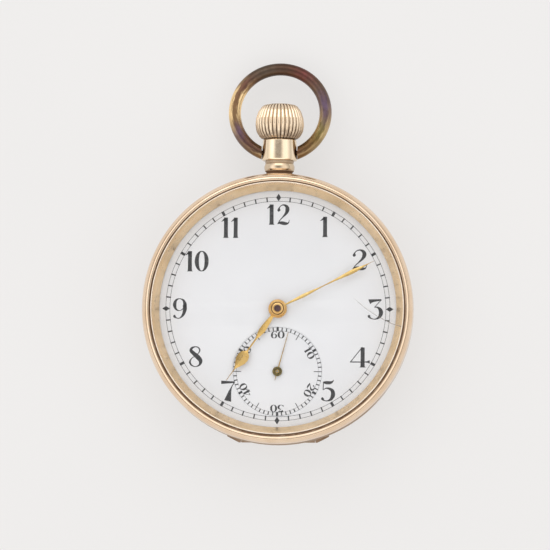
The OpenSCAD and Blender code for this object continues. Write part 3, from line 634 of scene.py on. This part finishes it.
hinge_y, hinge_z = ((low("hinge_pin") + high("hinge_pin")) / 2)[1:]
pin_hole = high("hinge_pin").z - hinge_z + 0.03
knuckle_r = 0.65
groove_r = knuckle_r + 0.08
barrel_end = 9.4
strip_end = barrel_end + 0.2
past_rim = -26
above_rim = 5
back_knuckles = (4.2, 6.8)
dust_knuckles = (1.3, 4.1)


def on_hinge(x, y, z):
    return (z, hinge_y + x, hinge_z + y)


def hinge_rod(name, r, x0, x1, hole=0.0, materials=()):
    """A rod along the hinge, hollow where a hole is given, with softened ends."""
    ends = [(hole, x0), (r, x0, 0.06), (r, x1, 0.06), (hole, x1)]
    return lathe(name, rounded(ends), list(materials), on_hinge, 48)


def block(name, x0, x1, y0, y1, z0, z1, materials=()):
    corners = [(x, y, z) for x in (x0, x1) for y in (y0, y1) for z in (z0, z1)]
    faces = [(0, 1, 3, 2), (4, 5, 7, 6), (0, 1, 5, 4), (2, 3, 7, 6), (0, 2, 6, 4), (1, 3, 7, 5)]
    return make_object(name, corners, faces, list(materials))


def strap_room(name, x0, x1):
    """A cutter that frees a knuckle of the dust cover."""
    room_end, room_floor = -22.9, 2.75
    return block(name, x0, x1, past_rim, room_end, room_floor, above_rim)


def lid(name, node, body, outline, finish, cutters, knuckles, strap_y, strap_z):
    """A spun lid with its hinge cut away, and a knuckle on a strap each side of the middle."""
    shell = lathe(name + "_shell", rounded(outline, steps=8), [finish])
    for cutter in cutters:
        cut(shell, cutter)
    finish_piece(shell, body, "gold_case", node)
    x0, x1 = knuckles
    for side, ends in (("right", (x0, x1)), ("left", (-x1, -x0))):
        tube = hinge_rod(name + "_knuckle_" + side, knuckle_r, *ends, pin_hole, [finish])
        finish_piece(tube, body, "gold_case")
        strap_start = hinge_y + pin_hole + 0.1
        tongue = block(name + "_strap_" + side, *ends, strap_start, hinge_y + strap_y, *strap_z, [finish])
        finish_piece(tongue, body, "gold_case")


lid("back", "back_cover", "cover", [
    (0, 0), (11, 0, 60), (15, 0.12, 60), (19, 0.55, 40), (22, 1.3, 20), (23.7, 2.2, 6), (24.4, 2.9, 1.5),
    (24.64, 3.3, 0.4), (24.64, 3.45, 0.05), (23.95, 3.45), (23.95, 3.02, 0.05), (23.3, 2.55, 4),
    (21.6, 1.75, 15), (18.7, 1.05, 30), (15, 0.65, 60), (11, 0.55, 60), (0, 0.55)], gold_body, [
        block("cut_strip", -strip_end, strip_end, past_rim, hinge_y + 0.1, -1, above_rim),
        hinge_rod("cut_groove", groove_r, -strip_end, strip_end),
        strap_room("cut_right", 1.25, 4.15),
        strap_room("cut_left", -4.15, -1.25)],
    back_knuckles, strap_y=0.85, strap_z=(2.82, 3.44))
lid("dust", "cuvette", "dust_cover", [
    (0, 1.78), (16, 1.82, 60), (20.2, 2.12, 20), (22.4, 2.6, 4), (23.1, 3.05, 0.6), (23.1, 3.45, 0.05),
    (22.6, 3.45), (22.3, 3, 0.3), (20, 2.5, 20), (16, 2.2, 60), (0, 2.15)], gold_inner, [
        hinge_rod("cut_dust_groove", groove_r, -barrel_end, barrel_end)],
    dust_knuckles, strap_y=1.2, strap_z=(2.86, 3.34))


# ---- Pendant ----

pendant_y = low("pendant").y
tube_r = 1.35
peg_hole_r = 0.48
pendant = lathe("pendant_tube", rounded([
    (tube_r, pendant_y), (2, pendant_y), (2, 24.97), (2.4, 24.97), (2.42, 25.47, 0.05), (2.64, 25.65, 0.15),
    (2.8, 26.05, 0.3), (2.8, 26.55, 0.3), (2.66, 26.97, 0.1), (2.56, 27.09, 0.05), (2.62, 27.19, 0.05),
    (2.66, 27.57, 0.05), (3.15, 27.64, 0.08), (3.25, 27.86, 0.2), (3.22, 28.4, 0.8), (3.1, 31.36, 0.1),
    (2.97, 31.53, 0.1), (tube_r, 31.55)]), [gold_pendant], place=on_stem, steps=128)
peg_hole = lathe("peg_hole", [(0, -5), (peg_hole_r, -5), (peg_hole_r, 5), (0, 5)], [gold_pendant],
                 place=lambda x, y, z: (z, bow_pivot + x, stem_z + y), steps=32)
cut(pendant, peg_hole)
finish_piece(pendant, "case", "gold_case", "pendant")


# ---- Bow ----

bow_wire = 1.125
bow_r = (high("bow").x - low("bow").x) / 2 - bow_wire
bow_gap = 3.3
bow_rise = math.sqrt(bow_r ** 2 - bow_gap ** 2)
bow_tilt = math.radians(10.5)
peg_r = 0.45
peg_tip = 2.35


def on_bow(x, out, up):
    """A point of the bow's own plane, tilted back about its pivots."""
    c, s = math.cos(bow_tilt), math.sin(bow_tilt)
    return (x, bow_pivot + out * c + up * s, stem_z - out * s + up * c)


def make_bow():
    """The open ring and the two pegs on which it swings."""
    around, rings, peg_steps = 48, 200, 24
    verts, faces, along, flank, upper = [], [], [], [], []
    for i in range(rings + 1):
        t = i / rings
        for k in range(around):
            a = TAU * k / around
            reach = bow_r + bow_wire * math.cos(a)
            start = -math.acos(bow_gap / reach)
            phi = start + t * (math.pi - 2 * start)
            out = bow_rise + reach * math.sin(phi)
            verts.append(on_bow(reach * math.cos(phi), out, bow_wire * math.sin(a)))
            along.append(t)
            flank.append(math.cos(a))
            upper.append(math.sin(a))
    for i in range(rings):
        here, after = i * around, (i + 1) * around
        for k in range(around):
            m = (k + 1) % around
            faces.append([here + k, here + m, after + m, after + k])
    faces += [[first + k for k in range(around)] for first in (0, rings * around)]
    for side, t in ((1, 0.0), (-1, 1.0)):
        tip = len(verts)
        root = tip + peg_steps
        for x in (peg_tip, bow_gap + 0.1):
            for k in range(peg_steps):
                a = TAU * k / peg_steps
                verts.append((side * x, bow_pivot + peg_r * math.cos(a), stem_z + peg_r * math.sin(a)))
                along.append(t)
                flank.append(0.0)
                upper.append(0.0)
        for k in range(peg_steps):
            m = (k + 1) % peg_steps
            faces.append([tip + k, tip + m, root + m, root + k])
        faces += [[first + k for k in range(peg_steps)] for first in (tip, root)]
    obj = make_object("bow_ring", verts, faces, [bronze])
    for label, values in (("along", along), ("flank", flank), ("upper", upper)):
        add_attribute(obj, label, values)
    return obj


finish_piece(make_bow(), "bow", "bow_bronze", "bow")


# ---- Crown ----

def make_crown():
    """The onion crown, scooped between its ribs. The scoops fade out towards its flat top."""
    ribs, per_rib = 34, 12
    steps = ribs * per_rib
    scoop = 0.42
    ribs_from_r = 2.65
    bore_r, bore_end = 0.75, 35.2
    y0, y1 = low("crown").y, high("crown").y
    crown_r = high("crown").x
    rib_end = y1 - 0.2
    outline = rounded([
        (bore_r, y0 + 0.02), (2.75, y0 + 0.02, 0.1), (3.35, y0 + 0.1, 0.2), (3.75, 32.1, 0.6),
        (4.3, 33.0, 1.6), (crown_r, 34.2, 2.2), (4.38, 35.5, 1.6), (3.95, 36.8, 1.2), (3.3, 37.68, 0.4),
        (2.9, 37.95, 0.1), (2.55, 37.95, 0.05), (2.4, 38.05, 0.1), (1.9, 38.15, 0.2), (0, y1)], steps=8)
    outline += [(0, bore_end), (bore_r, bore_end)]
    verts, groove, rows = [], [], []
    for r, y in outline:
        depth = 0.0
        if r > ribs_from_r and y < rib_end:
            depth = scoop * min(1, (y - y0 + 0.8) / 1.2) * min(1, 0.7 + (rib_end - y) / 2.0)
        dirty = min(1, 1.2 * max(0, 1 - (y - y0) / 3.6) + 1.3 * max(0, 1 - (rib_end - y) / 0.9))
        count = 1 if r < ON_AXIS else steps
        rows.append([len(verts) + k for k in range(count)])
        for k in range(count):
            u = 2 * ((k % per_rib) / per_rib) - 1
            dip = depth * (1 - math.sqrt(max(0, 1 - u * u)))
            a = TAU * k / steps
            verts.append(on_stem((r - dip) * math.cos(a), (r - dip) * math.sin(a), y))
            deep = max(0, dip / scoop - 0.15 + 0.1 * dirty)
            groove.append(min(1, deep * (0.8 + 3.2 * dirty)) if depth else 0.0)
    obj = make_object("crown_onion", verts, skin_rows(rows, steps)[0], [gold_crown], sharp=50)
    add_attribute(obj, "groove", groove)
    return obj


finish_piece(make_crown(), "crown", "gold_case", "crown")


# ---- Dial ----

def outline_curve(name, loops, z, thick, bevel, materials):
    """A flat plate with holes and softly rounded edges, from closed loops of points."""
    curve = bpy.data.curves.new(name, "CURVE")
    curve.dimensions = "2D"
    curve.fill_mode = "BOTH"
    curve.extrude = (thick / 2 - bevel) * MM
    curve.bevel_depth = bevel * MM
    curve.bevel_resolution = 3
    curve.offset = -bevel * MM
    for points in loops:
        spline = curve.splines.new("POLY")
        spline.points.add(len(points) - 1)
        for target, (x, y) in zip(spline.points, points):
            target.co = (x * MM, y * MM, 0, 1)
        spline.use_cyclic_u = True
    holder = link(bpy.data.objects.new(name, curve))
    mesh = evaluated_mesh(holder)
    bpy.data.objects.remove(holder)
    mesh.transform(Matrix.Translation((0, 0, z * MM)))
    mesh.materials.clear()
    for m in materials:
        mesh.materials.append(m)
    return smooth_object(name, mesh, sharp=40, weld=True)


def circle(r, steps=128, centre=(0, 0)):
    angles = [TAU * k / steps for k in range(steps)]
    return [(centre[0] + r * math.cos(a), centre[1] + r * math.sin(a)) for a in angles]


def heading(angle):
    """Unit direction of an angle in degrees, clockwise from twelve."""
    return (math.sin(math.radians(angle)), math.cos(math.radians(angle)))


sink_r = 8.35
dial_loops = [circle(dial_r - 0.02), circle(1.1, 48), circle(sink_r, 128, seconds_at)]
dial_plate = outline_curve("dial_plate", dial_loops, z=dial_top - 0.2, thick=0.4, bevel=0.05,
                           materials=[enamel])
finish_piece(dial_plate, "case", "enamel", "dial")
seconds_loops = [circle(sink_r + 0.02, 128, seconds_at), circle(0.4, 32, seconds_at)]
seconds_plate = outline_curve("seconds_plate", seconds_loops, z=dial_top - 0.25, thick=0.3, bevel=0.02,
                              materials=[enamel])
finish_piece(seconds_plate, "case", "enamel")


class Print:
    """Collects thin raised shapes of fired print at one height."""

    sunk, thick, point = 0.004, 0.014, 0.02
    narrow_one, full = 0.44, 0.62

    def __init__(self, z):
        self.levels = (z - self.sunk, z + self.thick)
        self.verts, self.faces = [], []

    def prism(self, left, right, closed=False):
        """A raised ribbon between two lines of points."""
        n = len(left)
        first = len(self.verts)
        for z in self.levels:
            self.verts += [(x, y, z) for x, y in left + right]
        top = first + 2 * n
        for i in range(n if closed else n - 1):
            j = (i + 1) % n
            for a, b in ((first, first + n), (top, top + n), (first, top), (first + n, top + n)):
                self.faces.append([a + i, a + j, b + j, b + i])
        if not closed:
            for i in (0, n - 1):
                self.faces.append([first + i, first + n + i, top + n + i, top + i])

    def ring(self, r, width, centre=(0, 0), steps=240):
        self.prism(circle(r - width / 2, steps, centre), circle(r + width / 2, steps, centre), True)

    def bar(self, centre, angle, r0, r1, w0, w1=None):
        """A radial mark, which tapers where it has two widths."""
        out = heading(angle)
        side = (out[1], -out[0])
        ends = ((r0, w0), (r1, w0 if w1 is None else w1))
        lines = []
        for sign in (-1, 1):
            points = [[centre[k] + out[k] * r + side[k] * sign * w / 2 for k in (0, 1)] for r, w in ends]
            lines.append(points)
        self.prism(*lines)

    def diamond(self, angle, r, length, width):
        self.bar((0, 0), angle, r - length / 2, r, self.point, width)
        self.bar((0, 0), angle, r, r + length / 2, width, self.point)

    def number(self, text, centre, height, turn=0.0, wide=1.0, bold=1.0):
        """Upright serif figures with thick and thin strokes, centred on a point and turned clockwise."""
        s, c = heading(-turn)

        def place(x, y):
            return (centre[0] + height * (c * x - s * y), centre[1] + height * (s * x + c * y))

        widths = [(self.narrow_one if digit == "1" else self.full) * wide for digit in text]
        start = -sum(widths) / 2
        for digit, width in zip(text, widths):
            middle = start + width / 2
            for stroke in FIGURES[digit]:
                edges = ribbon([(x * wide, y, w * bold) for x, y, w in stroke])
                self.prism(*[[place(x + middle, y - 0.5) for x, y in line] for line in edges])
            start += width

    def build(self, name):
        return make_object(name, self.verts, self.faces, [ink], sharp=20)


def between(a, b, c, d, t):
    """The value a share t of the way from b to c, on a smooth curve through all four."""
    bend = (2 * a - 5 * b + 4 * c - d) * t * t
    return 0.5 * (2 * b + (c - a) * t + bend + (3 * b - a - 3 * c + d) * t ** 3)


def smooth_line(points, steps=7):
    """Points along a smooth curve through the given ones, whatever they hold."""
    last = len(points) - 1
    out = []
    for i in range(last):
        near = [points[max(0, min(last, i + k))] for k in (-1, 0, 1, 2)]
        for k in range(steps):
            out.append([between(*values, k / steps) for values in zip(*near)])
    out.append(list(points[-1]))
    return out


def ribbon(points):
    """Left and right edges of a stroke whose points hold x, y and width."""
    thinnest = 0.004
    line = smooth_line(points) if len(points) > 2 else [list(p) for p in points]
    left, right = [], []
    for i, (x, y, w) in enumerate(line):
        a, b = line[max(0, i - 1)], line[min(len(line) - 1, i + 1)]
        dx, dy = b[0] - a[0], b[1] - a[1]
        half = max(w, thinnest) / 2 / (math.hypot(dx, dy) or 1)
        left.append((x - dy * half, y + dx * half))
        right.append((x + dy * half, y - dx * half))
    return left, right


# Strokes as points of x, y and width, in a box one unit high about x = 0.
NINE = [[(0.19, 0.66, 0.17), (0.20, 0.46, 0.16), (0.13, 0.19, 0.11), (0.0, 0.035, 0.045), (-0.13, 0.05, 0.05),
         (-0.19, 0.13, 0.12), (-0.17, 0.20, 0.0)],
        [(0.19, 0.60, 0.17), (0.2, 0.72, 0.15), (0.14, 0.90, 0.09), (0.0, 0.98, 0.035), (-0.13, 0.91, 0.09),
         (-0.19, 0.70, 0.15), (-0.14, 0.48, 0.09), (-0.02, 0.40, 0.035), (0.10, 0.46, 0.03),
         (0.16, 0.58, 0.03)]]
FIGURES = {
    "0": [[(0.22 * math.cos(a), 0.5 + 0.48 * math.sin(a), 0.035 + 0.145 * abs(math.cos(a)) ** 1.5)
           for a in [TAU * k / 24 for k in range(25)]]],
    "1": [[(0, 0, 0.27), (0, 0.035, 0.2), (0, 0.12, 0.175), (0, 0.5, 0.17), (0, 0.9, 0.17), (0, 0.99, 0.17)],
          [(-0.2, 0.79, 0.02), (-0.1, 0.87, 0.07), (0.0, 0.93, 0.13)]],
    "2": [[(-0.19, 0.64, 0.0), (-0.20, 0.67, 0.1), (-0.20, 0.73, 0.13), (-0.185, 0.83, 0.05),
           (-0.09, 0.94, 0.04), (0.03, 0.965, 0.07), (0.15, 0.88, 0.14), (0.18, 0.73, 0.175),
           (0.12, 0.56, 0.12), (-0.03, 0.37, 0.055), (-0.17, 0.2, 0.035), (-0.25, 0.05, 0.03)],
          [(-0.26, 0.04, 0.03), (-0.17, 0.10, 0.10), (-0.04, 0.085, 0.15), (0.1, 0.06, 0.13),
           (0.2, 0.075, 0.07), (0.25, 0.14, 0.035), (0.27, 0.25, 0.02)]],
    "3": [[(-0.22, 0.86, 0.22), (-0.14, 0.9, 0.15), (0.0, 0.93, 0.1), (0.2, 0.955, 0.07)],
          [(0.2, 0.96, 0.03), (-0.03, 0.61, 0.03)],
          [(-0.05, 0.59, 0.025), (0.05, 0.6, 0.06), (0.15, 0.5, 0.14), (0.19, 0.33, 0.18), (0.14, 0.14, 0.13),
           (0.02, 0.03, 0.05), (-0.1, 0.03, 0.035), (-0.2, 0.1, 0.08), (-0.22, 0.17, 0.13),
           (-0.2, 0.23, 0.0)]],
    "4": [[(0.08, 0, 0.30), (0.08, 0.035, 0.21), (0.08, 0.12, 0.18), (0.08, 0.5, 0.175), (0.08, 0.97, 0.175)],
          [(0.07, 0.99, 0.035), (-0.29, 0.27, 0.035)],
          [(-0.305, 0.265, 0.045), (0.0, 0.265, 0.045), (0.18, 0.265, 0.05), (0.26, 0.27, 0.11),
           (0.3, 0.275, 0.15)]],
    "5": [[(-0.17, 0.92, 0.07), (-0.05, 0.9, 0.14), (0.08, 0.9, 0.13), (0.17, 0.95, 0.07),
           (0.22, 1.03, 0.02)],
          [(-0.165, 0.95, 0.035), (-0.18, 0.54, 0.035)],
          [(-0.18, 0.55, 0.02), (-0.06, 0.63, 0.05), (0.07, 0.6, 0.1), (0.18, 0.48, 0.16), (0.19, 0.27, 0.18),
           (0.1, 0.08, 0.11), (-0.04, 0.015, 0.04), (-0.15, 0.05, 0.06), (-0.2, 0.13, 0.13),
           (-0.18, 0.2, 0.0)]],
    "6": [[(-x, 1 - y, w) for x, y, w in stroke] for stroke in NINE],
    "7": [[(-0.25, 0.905, 0.145), (0.0, 0.91, 0.105), (0.26, 0.915, 0.07)],
          [(0.235, 0.88, 0.03), (0.144, 0.67, 0.047), (0.084, 0.46, 0.12), (0.046, 0.257, 0.2),
           (0.0, 0.0, 0.31)]],
    "8": [[(0.0, 0.98, 0.04), (-0.13, 0.92, 0.09), (-0.17, 0.79, 0.14), (-0.06, 0.64, 0.17),
           (0.08, 0.48, 0.2), (0.19, 0.3, 0.17), (0.16, 0.11, 0.09), (0.02, 0.015, 0.035),
           (-0.14, 0.07, 0.06), (-0.21, 0.23, 0.08), (-0.15, 0.4, 0.04), (0.0, 0.54, 0.03),
           (0.12, 0.68, 0.04), (0.16, 0.82, 0.06), (0.1, 0.94, 0.05), (0.0, 0.98, 0.04)]],
    "9": NINE,
}

mark_step = 6
outer_track, inner_track, track_width = 20.65, 19.9, 0.07
five_width, minute_width = 0.5, 0.24
figure_height = 3.8
main_print = Print(dial_top)
main_print.ring(outer_track, track_width)
main_print.ring(inner_track, track_width)
for minute in range(60):
    angle = minute * mark_step
    if minute % 15 == 0:
        main_print.diamond(angle, r=20.6, length=1.4, width=0.9)
    else:
        width = five_width if minute % 5 == 0 else minute_width
        main_print.bar((0, 0), angle, inner_track - 0.08, outer_track + track_width, width)
WIDE = {"4": 1.58, "3": 1.4, "1": 1.15}
usual_wide, pair_wide = 1.28, 1.08
HOURS = {"12": (0.0, 17.45), "1": (8.6, 15.2), "2": (15.0, 9.15), "3": (18.0, 0.0), "4": (15.2, -8.85),
         "5": (9.32, -15.1), "7": (-9.11, -15.13), "8": (-15.1, -8.85), "9": (-18.1, 0.0),
         "10": (-15.0, 8.78), "11": (-8.78, 15.0)}
for text, spot in HOURS.items():
    wide = pair_wide if len(text) > 1 else WIDE.get(text, usual_wide)
    main_print.number(text, spot, figure_height, wide=wide, bold=1.12)
finish_piece(main_print.build("dial_figures"), "case", "enamel")

figures_r = 6.8
small_height = 1.3
small_width = 0.04
small_print = Print(dial_top - 0.1)
small_print.ring(8.15, small_width, seconds_at)
small_print.ring(7.55, small_width, seconds_at)
for second in range(60):
    if second % 10 == 0:
        marks = (7.45, 8.22, 0.42)
    elif second % 5 == 0:
        marks = (6.7, 8.18, 0.14)
    else:
        marks = (7.5, 8.18, 0.2)
    small_print.bar(seconds_at, second * mark_step, *marks)
for second in range(10, 61, 10):
    angle = second * mark_step
    spot = [c + figures_r * d for c, d in zip(seconds_at, heading(angle))]
    small_print.number(str(second), spot, small_height, angle, wide=1.6, bold=1.6)
finish_piece(small_print.build("seconds_figures"), "case", "enamel")


# ---- Hands ----

def hand(name, side, angle, z, centre, material, edge_share=0.2):
    """A ridged hand with painted shade on its clockwise side and where thin. side lists distance and half
    width.
    """
    corners, thick, thinnest, ridge_run = 5, 0.14, 0.015, 0.5
    # Shares of painted shade on the clockwise side and at thin parts, and the width under which a part counts
    # as thin.
    shade_side, shade_tip, shade_below = 0.55, 0.85, 0.22
    line = smooth_line(side, 6)
    out = heading(angle)
    verts, faces, painted_shade = [], [], []
    for d, w in line:
        w = max(w, thinnest)
        edge_z = z + thick * edge_share
        ridge = z + thick * min(1, edge_share + w / ridge_run)
        for across, up in ((-w, z), (-w, edge_z), (0, ridge), (w, edge_z), (w, z)):
            x, y = centre[0] + out[0] * d + out[1] * across, centre[1] + out[1] * d - out[0] * across
            verts.append((x, y, up))
            painted_shade.append(min(1, (shade_side if across > 0 else 0.0) + shade_tip * max(0, 1 - w / shade_below)))
    for here in range(0, len(verts) - corners, corners):
        for k in range(corners):
            m = (k + 1) % corners
            faces.append([here + k, here + m, here + corners + m, here + corners + k])
    faces += [[first + k for k in range(corners)] for first in (0, len(verts) - corners)]
    obj = make_object(name, verts, faces, [material], sharp=8)
    add_attribute(obj, "painted_shade", painted_shade)
    return obj


def hand_angle(node, centre=(0, 0)):
    """Direction of a CAD hand, clockwise from twelve, from its farthest point."""
    def reach(vertex):
        return (vertex.co / MM - Vector((*centre, vertex.co.z / MM))).length

    tip = max(frame["nodes"][node].data.vertices, key=reach)
    return math.degrees(math.atan2(tip.co.x / MM - centre[0], tip.co.y / MM - centre[1]))


hour = hand("hour_blade", [(1.3, 0.28), (1.8, 0.3), (3, 0.44), (4.67, 0.575), (5.8, 0.42), (6.8, 0.17),
                           (8.2, 0.14), (9.4, 0.15), (9.75, 0.3), (10.1, 0.72), (10.6, 1.0), (11.2, 1.09),
                           (11.9, 0.95), (12.7, 0.55), (13.4, 0.2), (14.0, 0.08), (16.3, 0.04)],
            hand_angle("hour_hand"), low("hour_hand").z + 0.1, (0, 0), hand_gold)
finish_piece(hour, "hour", "hand_gold", "hour_hand")
hour_boss = lathe("hour_boss", rounded([
    (0.96, 9.36), (1.66, 9.36, 0.04), (1.7, 9.45, 0.05), (1.7, 9.6, 0.06), (1.56, 9.74, 0.05),
    (1.48, 9.76, 0.03), (1.38, 9.66, 0.03), (1.16, 9.66, 0.03), (1.06, 9.75, 0.04), (0.96, 9.75)]),
    [boss_gold], steps=96)
finish_piece(hour_boss, "hour", "hand_gold")

minute_z = 9.98
minute = hand("minute_blade", [(1.3, 0.15), (2, 0.16), (3, 0.2), (5.3, 0.31), (7.5, 0.2), (9.5, 0.1),
                               (12, 0.19), (15.4, 0.385), (17.3, 0.2), (18.6, 0.07), (19.8, 0.02)],
              hand_angle("minute_hand"), minute_z, (0, 0), minute_gold)
finish_piece(minute, "centre", "hand_gold", "minute_hand")
groove_in, groove_out = 1.0, 1.2
minute_boss = lathe("minute_boss", rounded([
    (0.59, 9.89), (1.4, 9.89, 0.03), (1.44, 9.95, 0.04), (1.44, 10.06, 0.05), (1.34, 10.15, 0.05),
    (groove_out, 10.16, 0.03), (1.16, 10.08, 0.02), (1.04, 10.08, 0.02), (groove_in, 10.18, 0.03),
    (0.86, 10.22, 0.06), (0.7, 10.22, 0.04), (0.59, 10.14)]), [boss_gold, boss_groove], steps=96,
    zone=lambda r, z: 1 if groove_in < r < groove_out and z > 10 else 0)
finish_piece(minute_boss, "centre", "hand_gold")

seconds_z = 9.02
needle = hand("seconds_needle", [(-1.7, 0.04), (-1.2, 0.06), (0, 0.12), (3, 0.08), (7.6, 0.04)],
              hand_angle("seconds_hand", seconds_at), seconds_z, seconds_at, minute_gold, edge_share=0.5)
finish_piece(needle, "fourth", "hand_gold", "seconds_hand")
ring_in, ring_out = 0.19, 0.34
seconds_boss = lathe("seconds_boss", rounded([
    (0, 8.95), (0.86, 8.95, 0.03), (0.89, 9.0, 0.03), (0.89, 9.14, 0.05), (0.74, 9.22, 0.05),
    (0.4, 9.24, 0.03), (ring_out, 9.19, 0.02), (0.3, 9.25, 0.03), (0.2, 9.25, 0.02), (0.16, 9.18, 0.02),
    (0, 9.18)]),
    [olive, minute_gold], steps=64, centre=seconds_at,
    zone=lambda r, z: 1 if ring_in < r < ring_out and z > 9.1 else 0)
finish_piece(seconds_boss, "fourth", "hand_gold")


# ---- Floor, light and camera ----

def make_floor():
    s = Shader("floor")
    s.base(s.drift((0.205, 0.199, 0.194), (0.195, 0.189, 0.184), 8))
    s.set(Roughness=0.8, Emission_Strength=0.6)
    s.surface.inputs["Emission Color"].default_value = (1.0, 0.99, 0.985, 1)
    s.bump(s.noise(900), 0.05, 20)
    half, z = 0.9, -0.00002
    mesh = bpy.data.meshes.new("floor")
    corners = [(-half, -half, z), (half, -half, z), (half, half, z), (-half, half, z)]
    mesh.from_pydata(corners, [], [(0, 1, 2, 3)])
    mesh.materials.append(s.material)
    obj = link(bpy.data.objects.new("floor", mesh))


def make_world():
    """A pale studio: brightest part of the way up, dimmer at the right and in one oval patch overhead."""
    patch_x, patch_y = -0.12, 0.2
    patch_wide, patch_deep = 0.42, 0.21
    world = bpy.data.worlds.new("studio")
    bpy.context.scene.world = world
    world.use_nodes = True
    s = Nodes(world.node_tree, "Generated")
    background = s.tree.nodes["Background"].inputs
    x, _, z = s.axes()
    from_patch = s.node("ShaderNodeMapping", {
        "Vector": s.coords, "Location": (-patch_x / patch_wide, -patch_y / patch_deep, 0),
        "Scale": (1 / patch_wide, 1 / patch_deep, 0)}).outputs["Vector"]
    spread = s.node("ShaderNodeVectorMath", {0: from_patch}, operation="LENGTH").outputs["Value"]
    levels = [(0.0, 0.66), (0.3, 0.9), (0.6, 1.4), (0.85, 1.25), (1.0, 1.0)]
    sky = s.ramp(z, [(height, (v, v * 0.995, v * 0.99)) for height, v in levels])
    s.put(background["Color"], s.mix(1, sky, s.remap(x, -1, 1, 1.12, 0.92, "LINEAR"), "MULTIPLY"))
    s.put(background["Strength"], s.remap(spread, 0.6, 1.35, 0.4, 1.0, "LINEAR"))


def soft_light(name, place, size, power):
    light = bpy.data.lights.new(name, "AREA")
    light.shape = "DISK"
    light.size = size
    light.energy = power
    obj = link(bpy.data.objects.new(name, light))
    obj.location = place
    target = Vector((0, 0.005, 0))
    obj.rotation_euler = (target - Vector(place)).to_track_quat("-Z", "Y").to_euler()


make_floor()
make_world()
soft_light("key", (-0.05, 0.5, 0.55), size=0.7, power=0.7)

camera_data = bpy.data.cameras.new("camera")
camera = link(bpy.data.objects.new("camera", camera_data))
bpy.context.scene.camera = camera
toward = Vector((0.045, -0.088, 1)).normalized()
distance = 1.6
view_width = 0.1012
sensor = 36
aim = Vector((-0.00051, 0.00616, 0.010))
camera.location = aim + toward * distance
across = Vector((1, 0.0035, 0))
across = (across - toward * across.dot(toward)).normalized()
camera.rotation_euler = Matrix((across, toward.cross(across), toward)).transposed().to_euler()
camera_data.sensor_width = sensor
camera_data.lens = sensor * distance / view_width
camera_data.clip_start = 0.05
camera_data.clip_end = 20
bpy.context.scene.view_settings.view_transform = "Standard"
